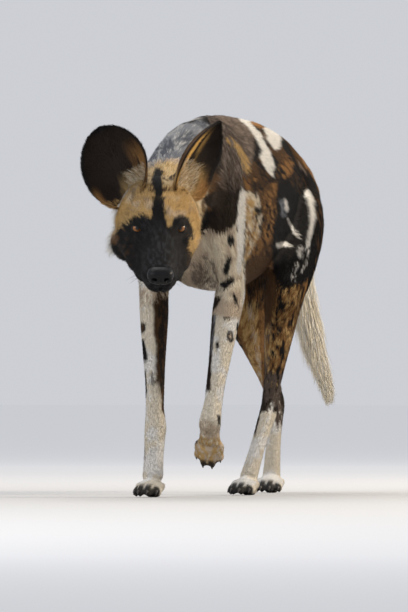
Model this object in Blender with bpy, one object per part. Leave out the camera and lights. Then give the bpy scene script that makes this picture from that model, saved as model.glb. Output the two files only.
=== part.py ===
"""A life-size African wild dog, walking with its head low and its left forefoot off the ground.

Metres, +Z up. The dog faces -Y, its left side is at +X, and its feet stand on the floor z = 0.
The flesh is modelled whole from lofted sections, fused and smoothed, and then parted into its
named pieces by thin cuts. Eyes, ears and nose are solids of their own, fitted into the head.
"""

import math
import random

import bmesh
import bpy
from mathutils import Euler, Matrix, Vector, bvhtree

# Fits and fineness
GAP = 0.0003            # between pieces that touch
VOXEL = 0.0032          # grain in which the flesh is fused
FLESH_TRIANGLES = 4800
FAR = 0.9               # reach of a cutter that has to pass right through

# Colours of the pieces
BROWN = (0.085, 0.060, 0.045)
TAN = (0.480, 0.330, 0.170)
WHITE = (0.720, 0.670, 0.590)
BLACK = (0.020, 0.018, 0.018)
AMBER = (0.220, 0.095, 0.020)

SIDES = (("left", 1), ("right", -1))

# Where the head is and how it is held
EYES_MID = Vector((0.040, -0.515, 0.4726))
HEAD_PITCH = math.radians(32.0)
HEAD_YAW = math.radians(21.5)

# Eyes, in the head's own frame: +X to the left, +Y backwards, +Z to the crown
EYE_CENTRE = Vector((0.0375, 0.004, 0.000))
EYE_RADIUS = 0.0112
LID_THICKNESS = 0.0022
EYE_OUTWARD = math.radians(24.0)
EYE_OPENING = (0.0122, 0.0066)

# Ears
EAR_ROOT = Vector((0.054, 0.050, 0.026))
EAR_HEIGHT = 0.148
EAR_THICKNESS = 0.0042
EAR_POSE = {            # tilt back, lean outwards, turn of the opening
    "right": (math.radians(-13.0), math.radians(-21.5), math.radians(-14.0)),
    "left": (math.radians(2.0), math.radians(28.0), math.radians(56.0)),
}

# Trunk sections from the chest to the buttocks:
# place along Y, top, bottom, half width, height of the widest level, roundness above, below
TRUNK = (
    (-0.325, 0.585, 0.440, 0.045, 0.520, 2.0, 2.0),
    (-0.290, 0.628, 0.402, 0.066, 0.522, 1.9, 2.0),
    (-0.240, 0.663, 0.380, 0.079, 0.525, 1.7, 1.9),
    (-0.180, 0.684, 0.370, 0.086, 0.528, 1.6, 1.9),
    (-0.080, 0.691, 0.367, 0.090, 0.532, 1.6, 1.9),
    (0.020, 0.689, 0.376, 0.090, 0.540, 1.65, 2.0),
    (0.120, 0.684, 0.403, 0.082, 0.552, 1.6, 2.0),
    (0.200, 0.675, 0.436, 0.067, 0.565, 1.5, 2.0),
    (0.280, 0.661, 0.456, 0.060, 0.560, 1.45, 2.0),
    (0.350, 0.633, 0.474, 0.054, 0.548, 1.6, 2.0),
    (0.398, 0.598, 0.505, 0.040, 0.545, 1.8, 2.0),
    (0.420, 0.574, 0.524, 0.024, 0.545, 2.0, 2.0),
)

# Neck sections: centre, half width, half height
NECK = (
    ((0.022, -0.470, 0.492), 0.050, 0.050),
    ((0.012, -0.430, 0.505), 0.059, 0.061),
    ((0.005, -0.385, 0.518), 0.063, 0.069),
    ((0.002, -0.335, 0.532), 0.066, 0.084),
    ((0.001, -0.285, 0.545), 0.070, 0.099),
    ((0.000, -0.235, 0.555), 0.074, 0.112),
    ((0.000, -0.190, 0.560), 0.075, 0.119),
)

# Head sections from the neck to the lips, in the head's frame:
# place backwards, top, bottom, half width, widest level, roundness above, below
SKULL = (
    (0.120, 0.040, -0.046, 0.046, 0.000, 2.1, 2.1),
    (0.098, 0.051, -0.060, 0.062, -0.006, 2.1, 2.1),
    (0.070, 0.057, -0.070, 0.071, -0.012, 2.2, 2.0),
    (0.045, 0.055, -0.074, 0.075, -0.018, 2.3, 2.0),
    (0.020, 0.046, -0.075, 0.072, -0.024, 2.3, 2.0),
    (0.002, 0.033, -0.074, 0.060, -0.028, 2.3, 2.0),
    (-0.016, 0.019, -0.072, 0.046, -0.030, 2.2, 2.1),
    (-0.034, 0.009, -0.070, 0.037, -0.034, 2.3, 2.2),
    (-0.054, 0.003, -0.070, 0.0335, -0.037, 2.4, 2.3),
    (-0.074, -0.002, -0.071, 0.032, -0.040, 2.4, 2.4),
    (-0.089, -0.007, -0.071, 0.030, -0.042, 2.4, 2.4),
    (-0.100, -0.013, -0.069, 0.026, -0.043, 2.3, 2.2),
    (-0.107, -0.021, -0.064, 0.018, -0.043, 2.0, 2.0),
)
MOUTH_INSET = 0.0035
MOUTH_GAPE = 0.0016

# Swellings of the head on each side: centre, radii
HEAD_FORMS = (
    ((0.055, 0.036, -0.034), (0.021, 0.038, 0.031)),    # cheek muscle
    ((0.046, 0.016, -0.014), (0.016, 0.034, 0.018)),    # cheekbone
    ((0.046, 0.016, -0.040), (0.021, 0.040, 0.027)),    # between cheek and jaw
    ((0.028, 0.008, 0.019), (0.020, 0.018, 0.013)),     # brow
    ((0.037, -0.004, -0.050), (0.020, 0.046, 0.023)),   # side of the jaw
    ((0.027, -0.040, -0.055), (0.017, 0.036, 0.017)),   # back of the lips
    ((0.018, -0.078, -0.041), (0.0165, 0.028, 0.019)),  # upper lip
    ((0.012, -0.070, -0.0635), (0.014, 0.026, 0.011)),  # chin
    ((0.048, 0.062, 0.016), (0.018, 0.025, 0.017)),     # root of the ear
)

# Nose pad: centre and radii of its parts, in the head's frame
NOSE_PAD = (
    ((0.000, -0.103, -0.026), (0.0195, 0.0120, 0.0150)),
    ((0.0115, -0.104, -0.029), (0.0115, 0.0115, 0.0115)),
    ((-0.0115, -0.104, -0.029), (0.0115, 0.0115, 0.0115)),
    ((0.000, -0.103, -0.040), (0.0070, 0.0090, 0.0090)),
)
NOSTRIL = ((0.0105, -0.1165, -0.0300), (0.0042, 0.0085, 0.0036))

# Limb sections: place along the limb in joints from its top, half width, half depth
FORE_SECTIONS = (
    (0.00, 0.012, 0.034), (0.50, 0.022, 0.054), (1.00, 0.029, 0.058), (1.50, 0.031, 0.055),
    (2.00, 0.0275, 0.043), (2.25, 0.0255, 0.036), (2.50, 0.0210, 0.0265), (2.75, 0.0178, 0.0200),
    (2.90, 0.0182, 0.0195), (3.00, 0.0215, 0.0215), (3.20, 0.0204, 0.0194), (3.60, 0.0192, 0.0172),
    (4.00, 0.0205, 0.0165),
)
HIND_SECTIONS = (
    (0.00, 0.014, 0.044), (0.50, 0.025, 0.066), (1.00, 0.036, 0.080), (1.50, 0.040, 0.077),
    (2.00, 0.034, 0.056), (2.25, 0.0295, 0.044), (2.50, 0.0230, 0.0320), (2.80, 0.0160, 0.0210),
    (3.00, 0.0168, 0.0225), (3.20, 0.0160, 0.0188), (3.60, 0.0152, 0.0152), (4.00, 0.0180, 0.0150),
)

# Joints of each limb: top, shoulder or hip, elbow or knee, wrist or hock, root of the toes
LIMBS = {
    "fore_right": (
        (-0.040, -0.170, 0.632), (-0.072, -0.258, 0.510), (-0.078, -0.206, 0.385),
        (-0.062, -0.243, 0.122), (-0.058, -0.268, 0.034),
    ),
    "fore_left": (
        (0.040, -0.165, 0.632), (0.066, -0.256, 0.510), (0.064, -0.190, 0.388),
        (0.058, -0.290, 0.134), (0.047, -0.262, 0.099),
    ),
    "hind_right": (
        (-0.028, 0.270, 0.605), (-0.046, 0.285, 0.520), (-0.058, 0.242, 0.342),
        (-0.044, 0.385, 0.170), (-0.042, 0.352, 0.032),
    ),
    "hind_left": (
        (0.026, 0.262, 0.600), (0.051, 0.260, 0.515), (0.064, 0.110, 0.370),
        (0.033, 0.115, 0.157), (0.022, 0.030, 0.032),
    ),
}

# Paws: how the toes droop, roll and turn from straight ahead, and the paws' size
PAW_TURNS = {
    "fore_right": (0.0, 0.0, -3.0),
    "fore_left": (96.0, 8.0, 12.0),
    "hind_right": (0.0, 0.0, 4.0),
    "hind_left": (0.0, 0.0, -12.0),
}
PAW_SIZE = {"fore": 0.85, "hind": 0.86}
TOES = ((-0.0235, -0.018), (-0.0090, -0.034), (0.0090, -0.034), (0.0235, -0.018))
PAW_BOTTOM = -0.034     # below the root of the toes
SOLE_CUT = 0.0015       # how much of the pads the floor flattens

# Seams of the legs on the trunk's side, as Y and Z, from behind the knee or elbow over the top
LEG_SEAMS = {
    "fore": (
        (-0.128, 0.345), (-0.135, 0.395), (-0.120, 0.460), (-0.112, 0.540), (-0.130, 0.610),
        (-0.175, 0.655), (-0.235, 0.645), (-0.290, 0.600), (-0.325, 0.530), (-0.318, 0.460),
        (-0.290, 0.400), (-0.285, 0.345),
    ),
    "hind": (
        (0.402, 0.360), (0.394, 0.430), (0.402, 0.500), (0.385, 0.575), (0.345, 0.630),
        (0.285, 0.655), (0.225, 0.648), (0.170, 0.600), (0.125, 0.520), (0.075, 0.440),
        (0.040, 0.385), (0.045, 0.335),
    ),
}
LEG_REACH = {"fore": (-0.420, -0.085), "hind": (-0.065, 0.428)}

# Half the width of the trunk's core between the legs, by height
CORE_WIDTHS = {
    "fore": ((0.340, 0.030), (0.420, 0.042), (0.530, 0.060), (0.600, 0.052), (0.645, 0.038),
             (0.690, 0.004)),
    "hind": ((0.340, 0.014), (0.430, 0.014), (0.470, 0.007), (0.500, 0.010), (0.560, 0.034),
             (0.600, 0.040), (0.650, 0.030), (0.680, 0.004)),
}
SEAT_CORNER = (0.305, 0.460)    # behind and below it the core doesn't reach

# Where each limb is divided, in joints from its top, and what the lower piece is called
LIMB_CUTS = {
    "fore": ((2.16, "forearm_{}"), (3.70, "paw_fore_{}")),
    "hind": ((2.12, "shank_{}"), (3.00, "hock_{}"), (3.78, "paw_hind_{}")),
}
UPPER_NAMES = {"fore": "shoulder_{}", "hind": "thigh_{}"}

# Tail: its path from the root, and its bony thickness
TAIL_PATH = (
    (0.000, 0.390, 0.572), (-0.003, 0.425, 0.545), (-0.012, 0.444, 0.490), (-0.016, 0.450, 0.430),
    (-0.012, 0.452, 0.380), (-0.005, 0.454, 0.335), (0.002, 0.457, 0.298), (0.014, 0.462, 0.250),
    (0.022, 0.468, 0.215), (0.026, 0.474, 0.188),
)
TAIL_RADII = (0.021, 0.017, 0.013, 0.0125, 0.0130, 0.0130, 0.0125, 0.0105, 0.0075, 0.0045)

# A lock's shape from root to tip: place along it, breadth, thickness and rise, as shares
LOCK_SHAPE = ((0.00, 0.75, 1.00, 0.0), (0.34, 1.00, 0.90, 0.60), (0.70, 0.66, 0.65, 1.0),
              (1.00, 0.07, 0.20, 1.2))

# Locks of the tail's plume, in tiers from its root to its tip
TAIL_TIERS = 6
TAIL_LOCKS = 5                 # in each tier
TAIL_LOCK = (0.096, 0.025, 0.0050)      # length, width, thickness
TAIL_SPREAD = (0.003, 0.017)   # how far the locks stand out, at the root and half way down

# Locks of the ruff behind the cheeks, in tiers from front to back on each side
RUFF_TIERS = ((0.016, 0.044), (0.036, 0.050), (0.056, 0.054))   # place backwards, length
RUFF_LOCKS = 5                 # in each tier and on each side
RUFF_ARC = (math.radians(6), math.radians(-66))   # from below the ear to the throat
RUFF_LOCK = (0.028, 0.0046)    # width, thickness
RUFF_RISE = 0.20               # how much they lift off the cheek


def clear_scene():
    """Empties the scene."""
    for obj in list(bpy.data.objects):
        bpy.data.objects.remove(obj, do_unlink=True)


def between(rows, steps):
    """Rows of numbers with Catmull-Rom rows between them, steps to each gap."""
    last = len(rows) - 1
    made = []
    for i in range(last):
        four = [rows[max(i - 1, 0)], rows[i], rows[i + 1], rows[min(i + 2, last)]]
        for k in range(steps):
            t = k / steps
            made.append([
                0.5 * (2 * b + (c - a) * t + (2 * a - 5 * b + 4 * c - d) * t * t
                       + (3 * b - a - 3 * c + d) * t ** 3)
                for a, b, c, d in zip(*four)
            ])
    made.append(list(rows[last]))
    return made


def section(along, top, bottom, half_width, widest, power_above, power_below, points=28):
    """An upright egg-shaped ring made of two half superellipses that meet at the widest level."""
    ring = []
    for k in range(points):
        angle = math.tau * k / points
        across, up = math.cos(angle), math.sin(angle)
        power = power_above if up >= 0 else power_below
        reach = top - widest if up >= 0 else widest - bottom
        x = half_width * math.copysign(abs(across) ** (2 / power), across)
        z = widest + reach * math.copysign(abs(up) ** (2 / power), up)
        ring.append(Vector((x, along, z)))
    return ring


def tube_rings(rows, points=16):
    """Oval rings across a path; each row is x, y, z, half width along X, half depth."""
    centres = [Vector(row[:3]) for row in rows]
    rings = []
    for i, row in enumerate(rows):
        ahead = centres[min(i + 1, len(rows) - 1)] - centres[max(i - 1, 0)]
        depth_way = ahead.cross(Vector((1, 0, 0))).normalized()
        width_way = depth_way.cross(ahead).normalized()
        rings.append([
            centres[i] + width_way * row[3] * math.cos(math.tau * k / points)
            + depth_way * row[4] * math.sin(math.tau * k / points)
            for k in range(points)
        ])
    return rings


def add_loft(bm, rings, matrix=Matrix.Identity(4)):
    """Adds a closed skin over the rings to the mesh."""
    loops = [[bm.verts.new(matrix @ co) for co in ring] for ring in rings]
    count = len(loops[0])
    faces = []
    for a, b in zip(loops, loops[1:]):
        faces += [bm.faces.new((a[k], a[(k + 1) % count], b[(k + 1) % count], b[k]))
                  for k in range(count)]
    faces += [bm.faces.new(loops[0]), bm.faces.new(loops[-1])]
    bmesh.ops.recalc_face_normals(bm, faces=faces)


def add_blob(bm, centre, radii, matrix=Matrix.Identity(4), rotation=(0, 0, 0), segments=20):
    """Adds an ellipsoid to the mesh."""
    place = (matrix @ Matrix.Translation(centre) @ Euler(rotation).to_matrix().to_4x4()
             @ Matrix.Diagonal((*radii, 1)))
    bmesh.ops.create_uvsphere(bm, u_segments=segments, v_segments=segments // 2,
                              radius=1, matrix=place)


def object_from(bm, name):
    """Turns the mesh into an object of the scene."""
    mesh = bpy.data.meshes.new(name)
    bm.to_mesh(mesh)
    bm.free()
    obj = bpy.data.objects.new(name, mesh)
    bpy.context.scene.collection.objects.link(obj)
    return obj


def settle(obj):
    """Replaces the object's mesh by what its modifiers make of it."""
    bpy.context.view_layer.update()
    graph = bpy.context.evaluated_depsgraph_get()
    made = bpy.data.meshes.new_from_object(obj.evaluated_get(graph))
    obj.modifiers.clear()
    obj.data = made
    return obj


def fused(obj, voxel, rounds):
    """Melts the overlapping forms of a mesh into one smooth skin."""
    remesh = obj.modifiers.new("fuse", "REMESH")
    remesh.mode = "VOXEL"
    remesh.voxel_size = voxel
    smooth = obj.modifiers.new("smooth", "SMOOTH")
    smooth.factor = 0.5
    smooth.iterations = rounds
    return settle(obj)


def thinned(obj, triangles, keep_fine=None):
    """Reduces the mesh to about that many triangles. keep_fine gives each point's coarseness."""
    thin = obj.modifiers.new("thin", "DECIMATE")
    faces = sum(len(face.vertices) - 2 for face in obj.data.polygons)
    thin.ratio = triangles / faces
    if keep_fine:
        group = obj.vertex_groups.new(name="coarse")
        for vertex in obj.data.vertices:
            group.add([vertex.index], keep_fine(vertex.co), "REPLACE")
        thin.vertex_group = group.name
        thin.vertex_group_factor = 0.6
    settle(obj)
    obj.vertex_groups.clear()
    return obj


def largest_shell(obj):
    """Keeps only the largest closed surface of the mesh."""
    bm = bmesh.new()
    bm.from_mesh(obj.data)
    left = set(bm.verts)
    shells = []
    while left:
        start = left.pop()
        shell, queue = {start}, [start]
        while queue:
            for edge in queue.pop().link_edges:
                for vert in edge.verts:
                    if vert in left:
                        left.discard(vert)
                        shell.add(vert)
                        queue.append(vert)
        shells.append(shell)
    shells.sort(key=len, reverse=True)
    for shell in shells[1:]:
        bmesh.ops.delete(bm, geom=list(shell), context="VERTS")
    bm.to_mesh(obj.data)
    bm.free()
    return obj


def boolean(obj, others, operation, solver="EXACT"):
    """Cuts or joins the object with the others, which are then removed."""
    together = bpy.data.collections.new("operands")
    bpy.context.scene.collection.children.link(together)
    for other in others:
        together.objects.link(other)
    modifier = obj.modifiers.new(operation.lower(), "BOOLEAN")
    modifier.operation = operation
    modifier.solver = solver
    modifier.operand_type = "COLLECTION"
    modifier.collection = together
    settle(obj)
    for other in list(together.objects):
        bpy.data.objects.remove(other, do_unlink=True)
    bpy.data.collections.remove(together)
    return obj


def twin(obj, name):
    """A copy of the object with a mesh of its own."""
    copy = bpy.data.objects.new(name, obj.data.copy())
    bpy.context.scene.collection.objects.link(copy)
    return copy


def grown(obj, name, distance=GAP):
    """A copy swollen by a small distance, to cut a fitting hollow with."""
    copy = twin(obj, name)
    swell = copy.modifiers.new("swell", "DISPLACE")
    swell.mid_level = 0
    swell.strength = distance
    return settle(copy)


def halved(obj, name, point, normal):
    """Cuts off what lies ahead of a plane as a new object, with the gap between the two."""
    normal = Vector(normal).normalized()
    front = twin(obj, name)
    for half, sign in ((obj, -1), (front, 1)):
        bm = bmesh.new()
        bm.from_mesh(half.data)
        at = Vector(point) + normal * sign * GAP / 2
        geometry = bm.verts[:] + bm.edges[:] + bm.faces[:]
        cut = bmesh.ops.bisect_plane(bm, geom=geometry, plane_co=at, plane_no=normal,
                                     clear_outer=sign < 0, clear_inner=sign > 0)
        rim = [e for e in cut["geom_cut"] if isinstance(e, bmesh.types.BMEdge)]
        bmesh.ops.holes_fill(bm, edges=rim)
        bmesh.ops.triangulate(bm, faces=bm.faces[:])
        bmesh.ops.recalc_face_normals(bm, faces=bm.faces[:])
        bm.to_mesh(half.data)
        bm.free()
        largest_shell(half)
    return front


def head_matrix():
    """From the head's frame to the dog's."""
    turn = Matrix.Rotation(HEAD_YAW, 4, "Z") @ Matrix.Rotation(HEAD_PITCH, 4, "X")
    return Matrix.Translation(EYES_MID) @ turn


def mirrored(centre, side):
    """The centre on the given side, 1 for left and -1 for right."""
    return Vector((centre[0] * side, centre[1], centre[2]))


def add_trunk(bm):
    """Chest, back, loins and rump."""
    add_loft(bm, [section(*row) for row in between(TRUNK, 3)])


def add_neck(bm):
    """The neck, from inside the skull to inside the chest."""
    rows = [[*centre, width, height] for centre, width, height in NECK]
    add_loft(bm, tube_rings(between(rows, 3), points=24))


def add_head(bm):
    """Skull and muzzle with their muscles and lips."""
    matrix = head_matrix()
    add_loft(bm, [section(*row) for row in between(SKULL, 3)], matrix)
    for side in (-1, 1):
        for centre, radii in HEAD_FORMS:
            add_blob(bm, mirrored(centre, side), radii, matrix)
        lids = EYE_RADIUS + LID_THICKNESS
        add_blob(bm, mirrored(EYE_CENTRE, side), (lids, lids, lids), matrix)


def limb_point(joints, place):
    """The point at a place along the limb, counted in joints from its top."""
    i = min(int(place), len(joints) - 2)
    return Vector(joints[i]).lerp(Vector(joints[i + 1]), place - i)


def add_limb(bm, name):
    """One leg from its top down to the root of the toes, with the points that stand out."""
    joints = LIMBS[name]
    sections = FORE_SECTIONS if name.startswith("fore") else HIND_SECTIONS
    rows = [[*limb_point(joints, place), width, depth] for place, width, depth in sections]
    add_loft(bm, tube_rings(between(rows, 3)))
    if name.startswith("fore"):
        elbow = limb_point(joints, 1.97) + Vector((0, 0.026, 0.006))
        add_blob(bm, elbow, (0.014, 0.018, 0.026))
    else:
        add_hamstring(bm, joints)


def add_hamstring(bm, joints):
    """The muscles behind the thigh and the tendon down to the point of the hock."""
    hock = Vector(joints[3])
    shank = (Vector(joints[2]) - hock).normalized()
    foot = (Vector(joints[4]) - hock).normalized()
    heel = hock - foot * 0.020 + (shank - foot).cross(Vector((1, 0, 0))).normalized() * 0.004
    heel += Vector((0, 0.010, 0))
    seat = Vector((math.copysign(0.029, joints[0][0]), 0.368, 0.530))
    calf = limb_point(joints, 2.28) + Vector((0, 0.030, 0.006))
    rows = (
        [*seat, 0.021, 0.034],
        [*seat.lerp(calf, 0.45) + Vector((0, 0.004, 0)), 0.027, 0.040],
        [*calf, 0.022, 0.026],
        [*calf.lerp(heel, 0.6), 0.0095, 0.0095],
        [*heel, 0.0085, 0.0095],
    )
    add_loft(bm, tube_rings(between(rows, 3)))


def paw_matrix(name):
    """From a paw's frame, with the toes along -Y and the floor below, to the dog's."""
    size = PAW_SIZE[name[:4]]
    turn = Euler([math.radians(angle) for angle in PAW_TURNS[name]]).to_matrix().to_4x4()
    root = Vector(LIMBS[name][4])
    if not PAW_TURNS[name][0]:
        root.z = -PAW_BOTTOM * size - SOLE_CUT
    return Matrix.Translation(root) @ turn @ Matrix.Scale(size, 4)


def add_paw(bm, name):
    """The foot: its body, four toes with their pads, and the heel pad."""
    matrix = paw_matrix(name)
    add_blob(bm, (0, -0.008, -0.010), (0.0265, 0.030, 0.0175), matrix)
    add_blob(bm, (0, 0.002, PAW_BOTTOM + 0.010), (0.0190, 0.0165, 0.0120), matrix)
    for x, y in TOES:
        spread = -x * 9
        add_blob(bm, (x, y, -0.0120), (0.0090, 0.0200, 0.0120), matrix, (0.30, 0, spread))
        add_blob(bm, (x * 1.06, y - 0.0125, -0.0215), (0.0086, 0.0120, 0.0115), matrix)
    for x, y in TOES:
        add_claw(bm, Vector((x * 1.08, y - 0.0200, -0.0205)), matrix)


def add_claw(bm, root, matrix):
    """A short blunt claw that curves down from the end of a toe."""
    rows = []
    for k in range(5):
        t = k / 4
        reach = 0.0145 * t
        radius = 0.0038 * (1 - 0.72 * t)
        rows.append([root.x, root.y - reach, root.z - 0.010 * t * t, radius, radius * 1.25])
    add_loft(bm, tube_rings(rows, points=8), matrix)


def add_tail_core(bm):
    """The bony part of the tail, from inside the rump."""
    rows = [[*point, radius, radius] for point, radius in zip(TAIL_PATH, TAIL_RADII)]
    add_loft(bm, tube_rings(between(rows, 3), points=12))


def add_lock(bm, root, out, along, size, lift):
    """A flat lock of hair. It starts inside the flesh, rises over it by the lift and tapers."""
    length, width, thick = size
    across = out.cross(along).normalized()
    rings = []
    for t, breadth, body, rise in LOCK_SHAPE:
        centre = root + along * length * t + out * (lift * rise - thick * (1 - t))
        half, deep = width / 2 * breadth, thick / 2 * body
        rings.append([centre + across * half, centre + out * deep,
                      centre - across * half, centre - out * deep])
    add_loft(bm, rings)


def with_locks(piece, locks):
    """Joins the locks to the piece they grow from."""
    return largest_shell(boolean(piece, locks, "UNION", "MANIFOLD"))


def tail_locks():
    """The plume: tiers of locks round the tail's core, each tier over the roots of the next."""
    draw = random.Random(5)
    path = [Vector(row) for row in between(TAIL_PATH, 6)]
    locks = []
    for tier in range(TAIL_TIERS):
        share = 0.14 + 0.74 * tier / (TAIL_TIERS - 1)
        i = int(share * (len(path) - 1))
        along = (path[min(i + 4, len(path) - 1)] - path[i - 1]).normalized()
        spread = TAIL_SPREAD[0] + TAIL_SPREAD[1] * math.sin(math.pi * min(share * 0.9 + 0.12, 1))
        for k in range(TAIL_LOCKS):
            angle = math.tau * (k + 0.5 * (tier % 2)) / TAIL_LOCKS + draw.uniform(-0.2, 0.2)
            side = along.cross(Vector((0, -1, 0))).normalized()
            out = side * math.cos(angle) + along.cross(side) * math.sin(angle)
            length, width, thick = TAIL_LOCK
            room = (path[-1] - path[i]).length + 0.030
            size = (min(length * draw.uniform(0.9, 1.1), room), width * draw.uniform(0.9, 1.1), thick)
            bm = bmesh.new()
            add_lock(bm, path[i] + out * 0.005, out, along, size, spread)
            locks.append(object_from(bm, "lock"))
    return locks


def ruff_locks(head):
    """The longer hair behind the cheeks, from below each ear to the throat."""
    draw = random.Random(9)
    matrix = head_matrix()
    turn = matrix.to_3x3()
    skin = bvhtree.BVHTree.FromPolygons([v.co for v in head.data.vertices],
                                        [face.vertices for face in head.data.polygons])
    locks = []
    for _, side in SIDES:
        for tier, (back, length) in enumerate(RUFF_TIERS):
            for k in range(RUFF_LOCKS):
                share = (k + 0.5 * (tier % 2) + draw.uniform(-0.1, 0.1)) / (RUFF_LOCKS - 0.5)
                angle = RUFF_ARC[0] + (RUFF_ARC[1] - RUFF_ARC[0]) * share
                way = Vector((side * math.cos(angle), 0, math.sin(angle)))
                start = matrix @ (Vector((0, back, -0.016)) + way * 0.2)
                spot, normal, _, _ = skin.ray_cast(start, -(turn @ way))
                lie = turn @ Vector((side * 0.45, 0.80, -0.60))
                along = (lie - normal * lie.dot(normal)).normalized()
                along = (along + normal * RUFF_RISE).normalized()
                out = (normal - along * normal.dot(along)).normalized()
                size = (length * draw.uniform(0.9, 1.1), *RUFF_LOCK)
                bm = bmesh.new()
                add_lock(bm, spot - along * 0.006, out, along, size, 0.004)
                locks.append(object_from(bm, "lock"))
    return locks


def coarseness(co):
    """0 where the surface is kept finest, on the head and feet, and 1 on the trunk."""
    local = head_matrix().inverted() @ co
    if local.y < 0.08 and abs(local.x) < 0.09 and local.z > -0.10:
        return 0.95
    if co.z < 0.085:
        return 0.97
    return 1.0


def make_flesh():
    """The whole animal but for eyes, ears and nose, in one skin."""
    bm = bmesh.new()
    add_trunk(bm)
    add_neck(bm)
    add_head(bm)
    add_tail_core(bm)
    for name in LIMBS:
        add_limb(bm, name)
        add_paw(bm, name)
    flesh = fused(object_from(bm, "torso"), VOXEL, 4)
    return thinned(flesh, FLESH_TRIANGLES, coarseness)


def prism(name, outline, low, high, axis):
    """A closed prism: the outline, a list of two numbers a point, drawn out along the axis."""
    bm = bmesh.new()
    place = {"X": lambda a, b, h: (h, a, b), "Y": lambda a, b, h: (a, h, b)}[axis]
    rings = [[Vector(place(a, b, h)) for a, b in outline] for h in (low, high)]
    add_loft(bm, rings)
    return object_from(bm, name)


def outset(outline, distance):
    """The outline moved outwards, its points given round the shape against the clock."""
    moved = []
    for i, (a, b) in enumerate(outline):
        before, after = outline[i - 1], outline[(i + 1) % len(outline)]
        along = Vector((after[0] - before[0], after[1] - before[1])).normalized()
        moved.append((a + along.y * distance, b - along.x * distance))
    return moved


def leg_zone(kind, grow):
    """The space of both fore or both hind legs, larger by grow on every side."""
    seam = [tuple(point) for point in between(LEG_SEAMS[kind], 3)]
    front, rear = LEG_REACH[kind]
    below = [(front, seam[-1][1]), (front, -0.1), (rear, -0.1), (rear, seam[0][1])]
    zone = prism("zone", outset(seam + below, grow), -FAR, FAR, "X")
    half = between(CORE_WIDTHS[kind], 2)
    outline = [(x - grow, z) for z, x in half] + [(grow - x, z) for z, x in reversed(half)]
    core = prism("core", outline, -FAR, FAR, "Y")
    if kind == "hind":
        rear, seat = SEAT_CORNER[0] - grow, SEAT_CORNER[1] + grow
        corner = [(rear, -0.1), (FAR, -0.1), (FAR, seat), (rear, seat)]
        boolean(core, [prism("corner", corner, -FAR, FAR, "X")], "DIFFERENCE")
    return boolean(zone, [core], "DIFFERENCE")


def part_legs(torso, kind):
    """Takes both fore or both hind legs from the torso."""
    both = boolean(twin(torso, "legs"), [leg_zone(kind, 0)], "INTERSECT")
    boolean(torso, [leg_zone(kind, GAP)], "DIFFERENCE")
    largest_shell(torso)
    legs = {}
    for side, sign in (("left", 1), ("right", -1)):
        leg = twin(both, UPPER_NAMES[kind].format(side))
        keep_side(leg, sign)
        legs[f"{kind}_{side}"] = leg
    bpy.data.objects.remove(both, do_unlink=True)
    return legs


def keep_side(obj, sign):
    """Keeps the shell whose upper part is furthest to the given side."""
    bm = bmesh.new()
    bm.from_mesh(obj.data)
    top = [v for v in bm.verts if v.co.z > 0.45]
    start = max(top, key=lambda v: v.co.x * sign)
    shell, queue = {start}, [start]
    while queue:
        for edge in queue.pop().link_edges:
            for vert in edge.verts:
                if vert not in shell:
                    shell.add(vert)
                    queue.append(vert)
    bmesh.ops.delete(bm, geom=[v for v in bm.verts if v not in shell], context="VERTS")
    bm.to_mesh(obj.data)
    bm.free()


def part_limb(leg, name):
    """Divides a leg across into its pieces, from the shoulder or thigh down to the paw."""
    kind, side = name.split("_")
    pieces = [leg]
    for place, piece_name in LIMB_CUTS[kind]:
        above, below = (limb_point(LIMBS[name], place + step) for step in (-0.2, 0.2))
        point = limb_point(LIMBS[name], place)
        pieces.append(halved(pieces[-1], piece_name.format(side), point, below - above))
    level_sole(pieces[-1])
    return pieces


def level_sole(paw):
    """Cuts the pads off flat where they reach the floor."""
    if min(v.co.z for v in paw.data.vertices) > 0.0:
        return paw
    below = halved(paw, "below", (0, 0, -GAP / 2), (0, 0, -1))
    bpy.data.objects.remove(below, do_unlink=True)
    return paw


def part_head(torso):
    """Takes the head and the neck from the torso with two sloping cuts."""
    neck = halved(torso, "neck", (0, -0.262, 0.600), (0, -0.985, 0.170))
    matrix = head_matrix()
    behind_ears = matrix @ Vector((0, 0.090, 0.045))
    throat = matrix @ Vector((0, 0.052, -0.070))
    across = matrix.to_3x3() @ Vector((1, 0, 0))
    normal = across.cross(behind_ears - throat)
    if normal.y > 0:
        normal.negate()
    head = halved(neck, "head", throat, normal)
    return head, neck


def tail_box(grow):
    """The space behind the rump that the tail hangs in, larger by grow on every side."""
    front, top = 0.4315 - grow, 0.545 + grow
    outline = [(front, 0.0), (0.62, 0.0), (0.62, top), (front, top)]
    return prism("tail_box", outline, -0.09, 0.09, "X")


def part_tail(torso):
    """Takes the tail from the rump with a box, and gives it its plume."""
    tail = boolean(twin(torso, "tail"), [tail_box(0)], "INTERSECT")
    boolean(torso, [tail_box(GAP)], "DIFFERENCE")
    largest_shell(torso)
    with_locks(largest_shell(tail), tail_locks())
    return largest_shell(boolean(tail, [tail_box(0)], "INTERSECT", "MANIFOLD"))


def make_eye(side_name, side):
    """An eyeball in its place in the head."""
    bm = bmesh.new()
    radii = (EYE_RADIUS, EYE_RADIUS, EYE_RADIUS)
    add_blob(bm, mirrored(EYE_CENTRE, side), radii, head_matrix(), segments=16)
    return object_from(bm, f"eye_{side_name}")


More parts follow.
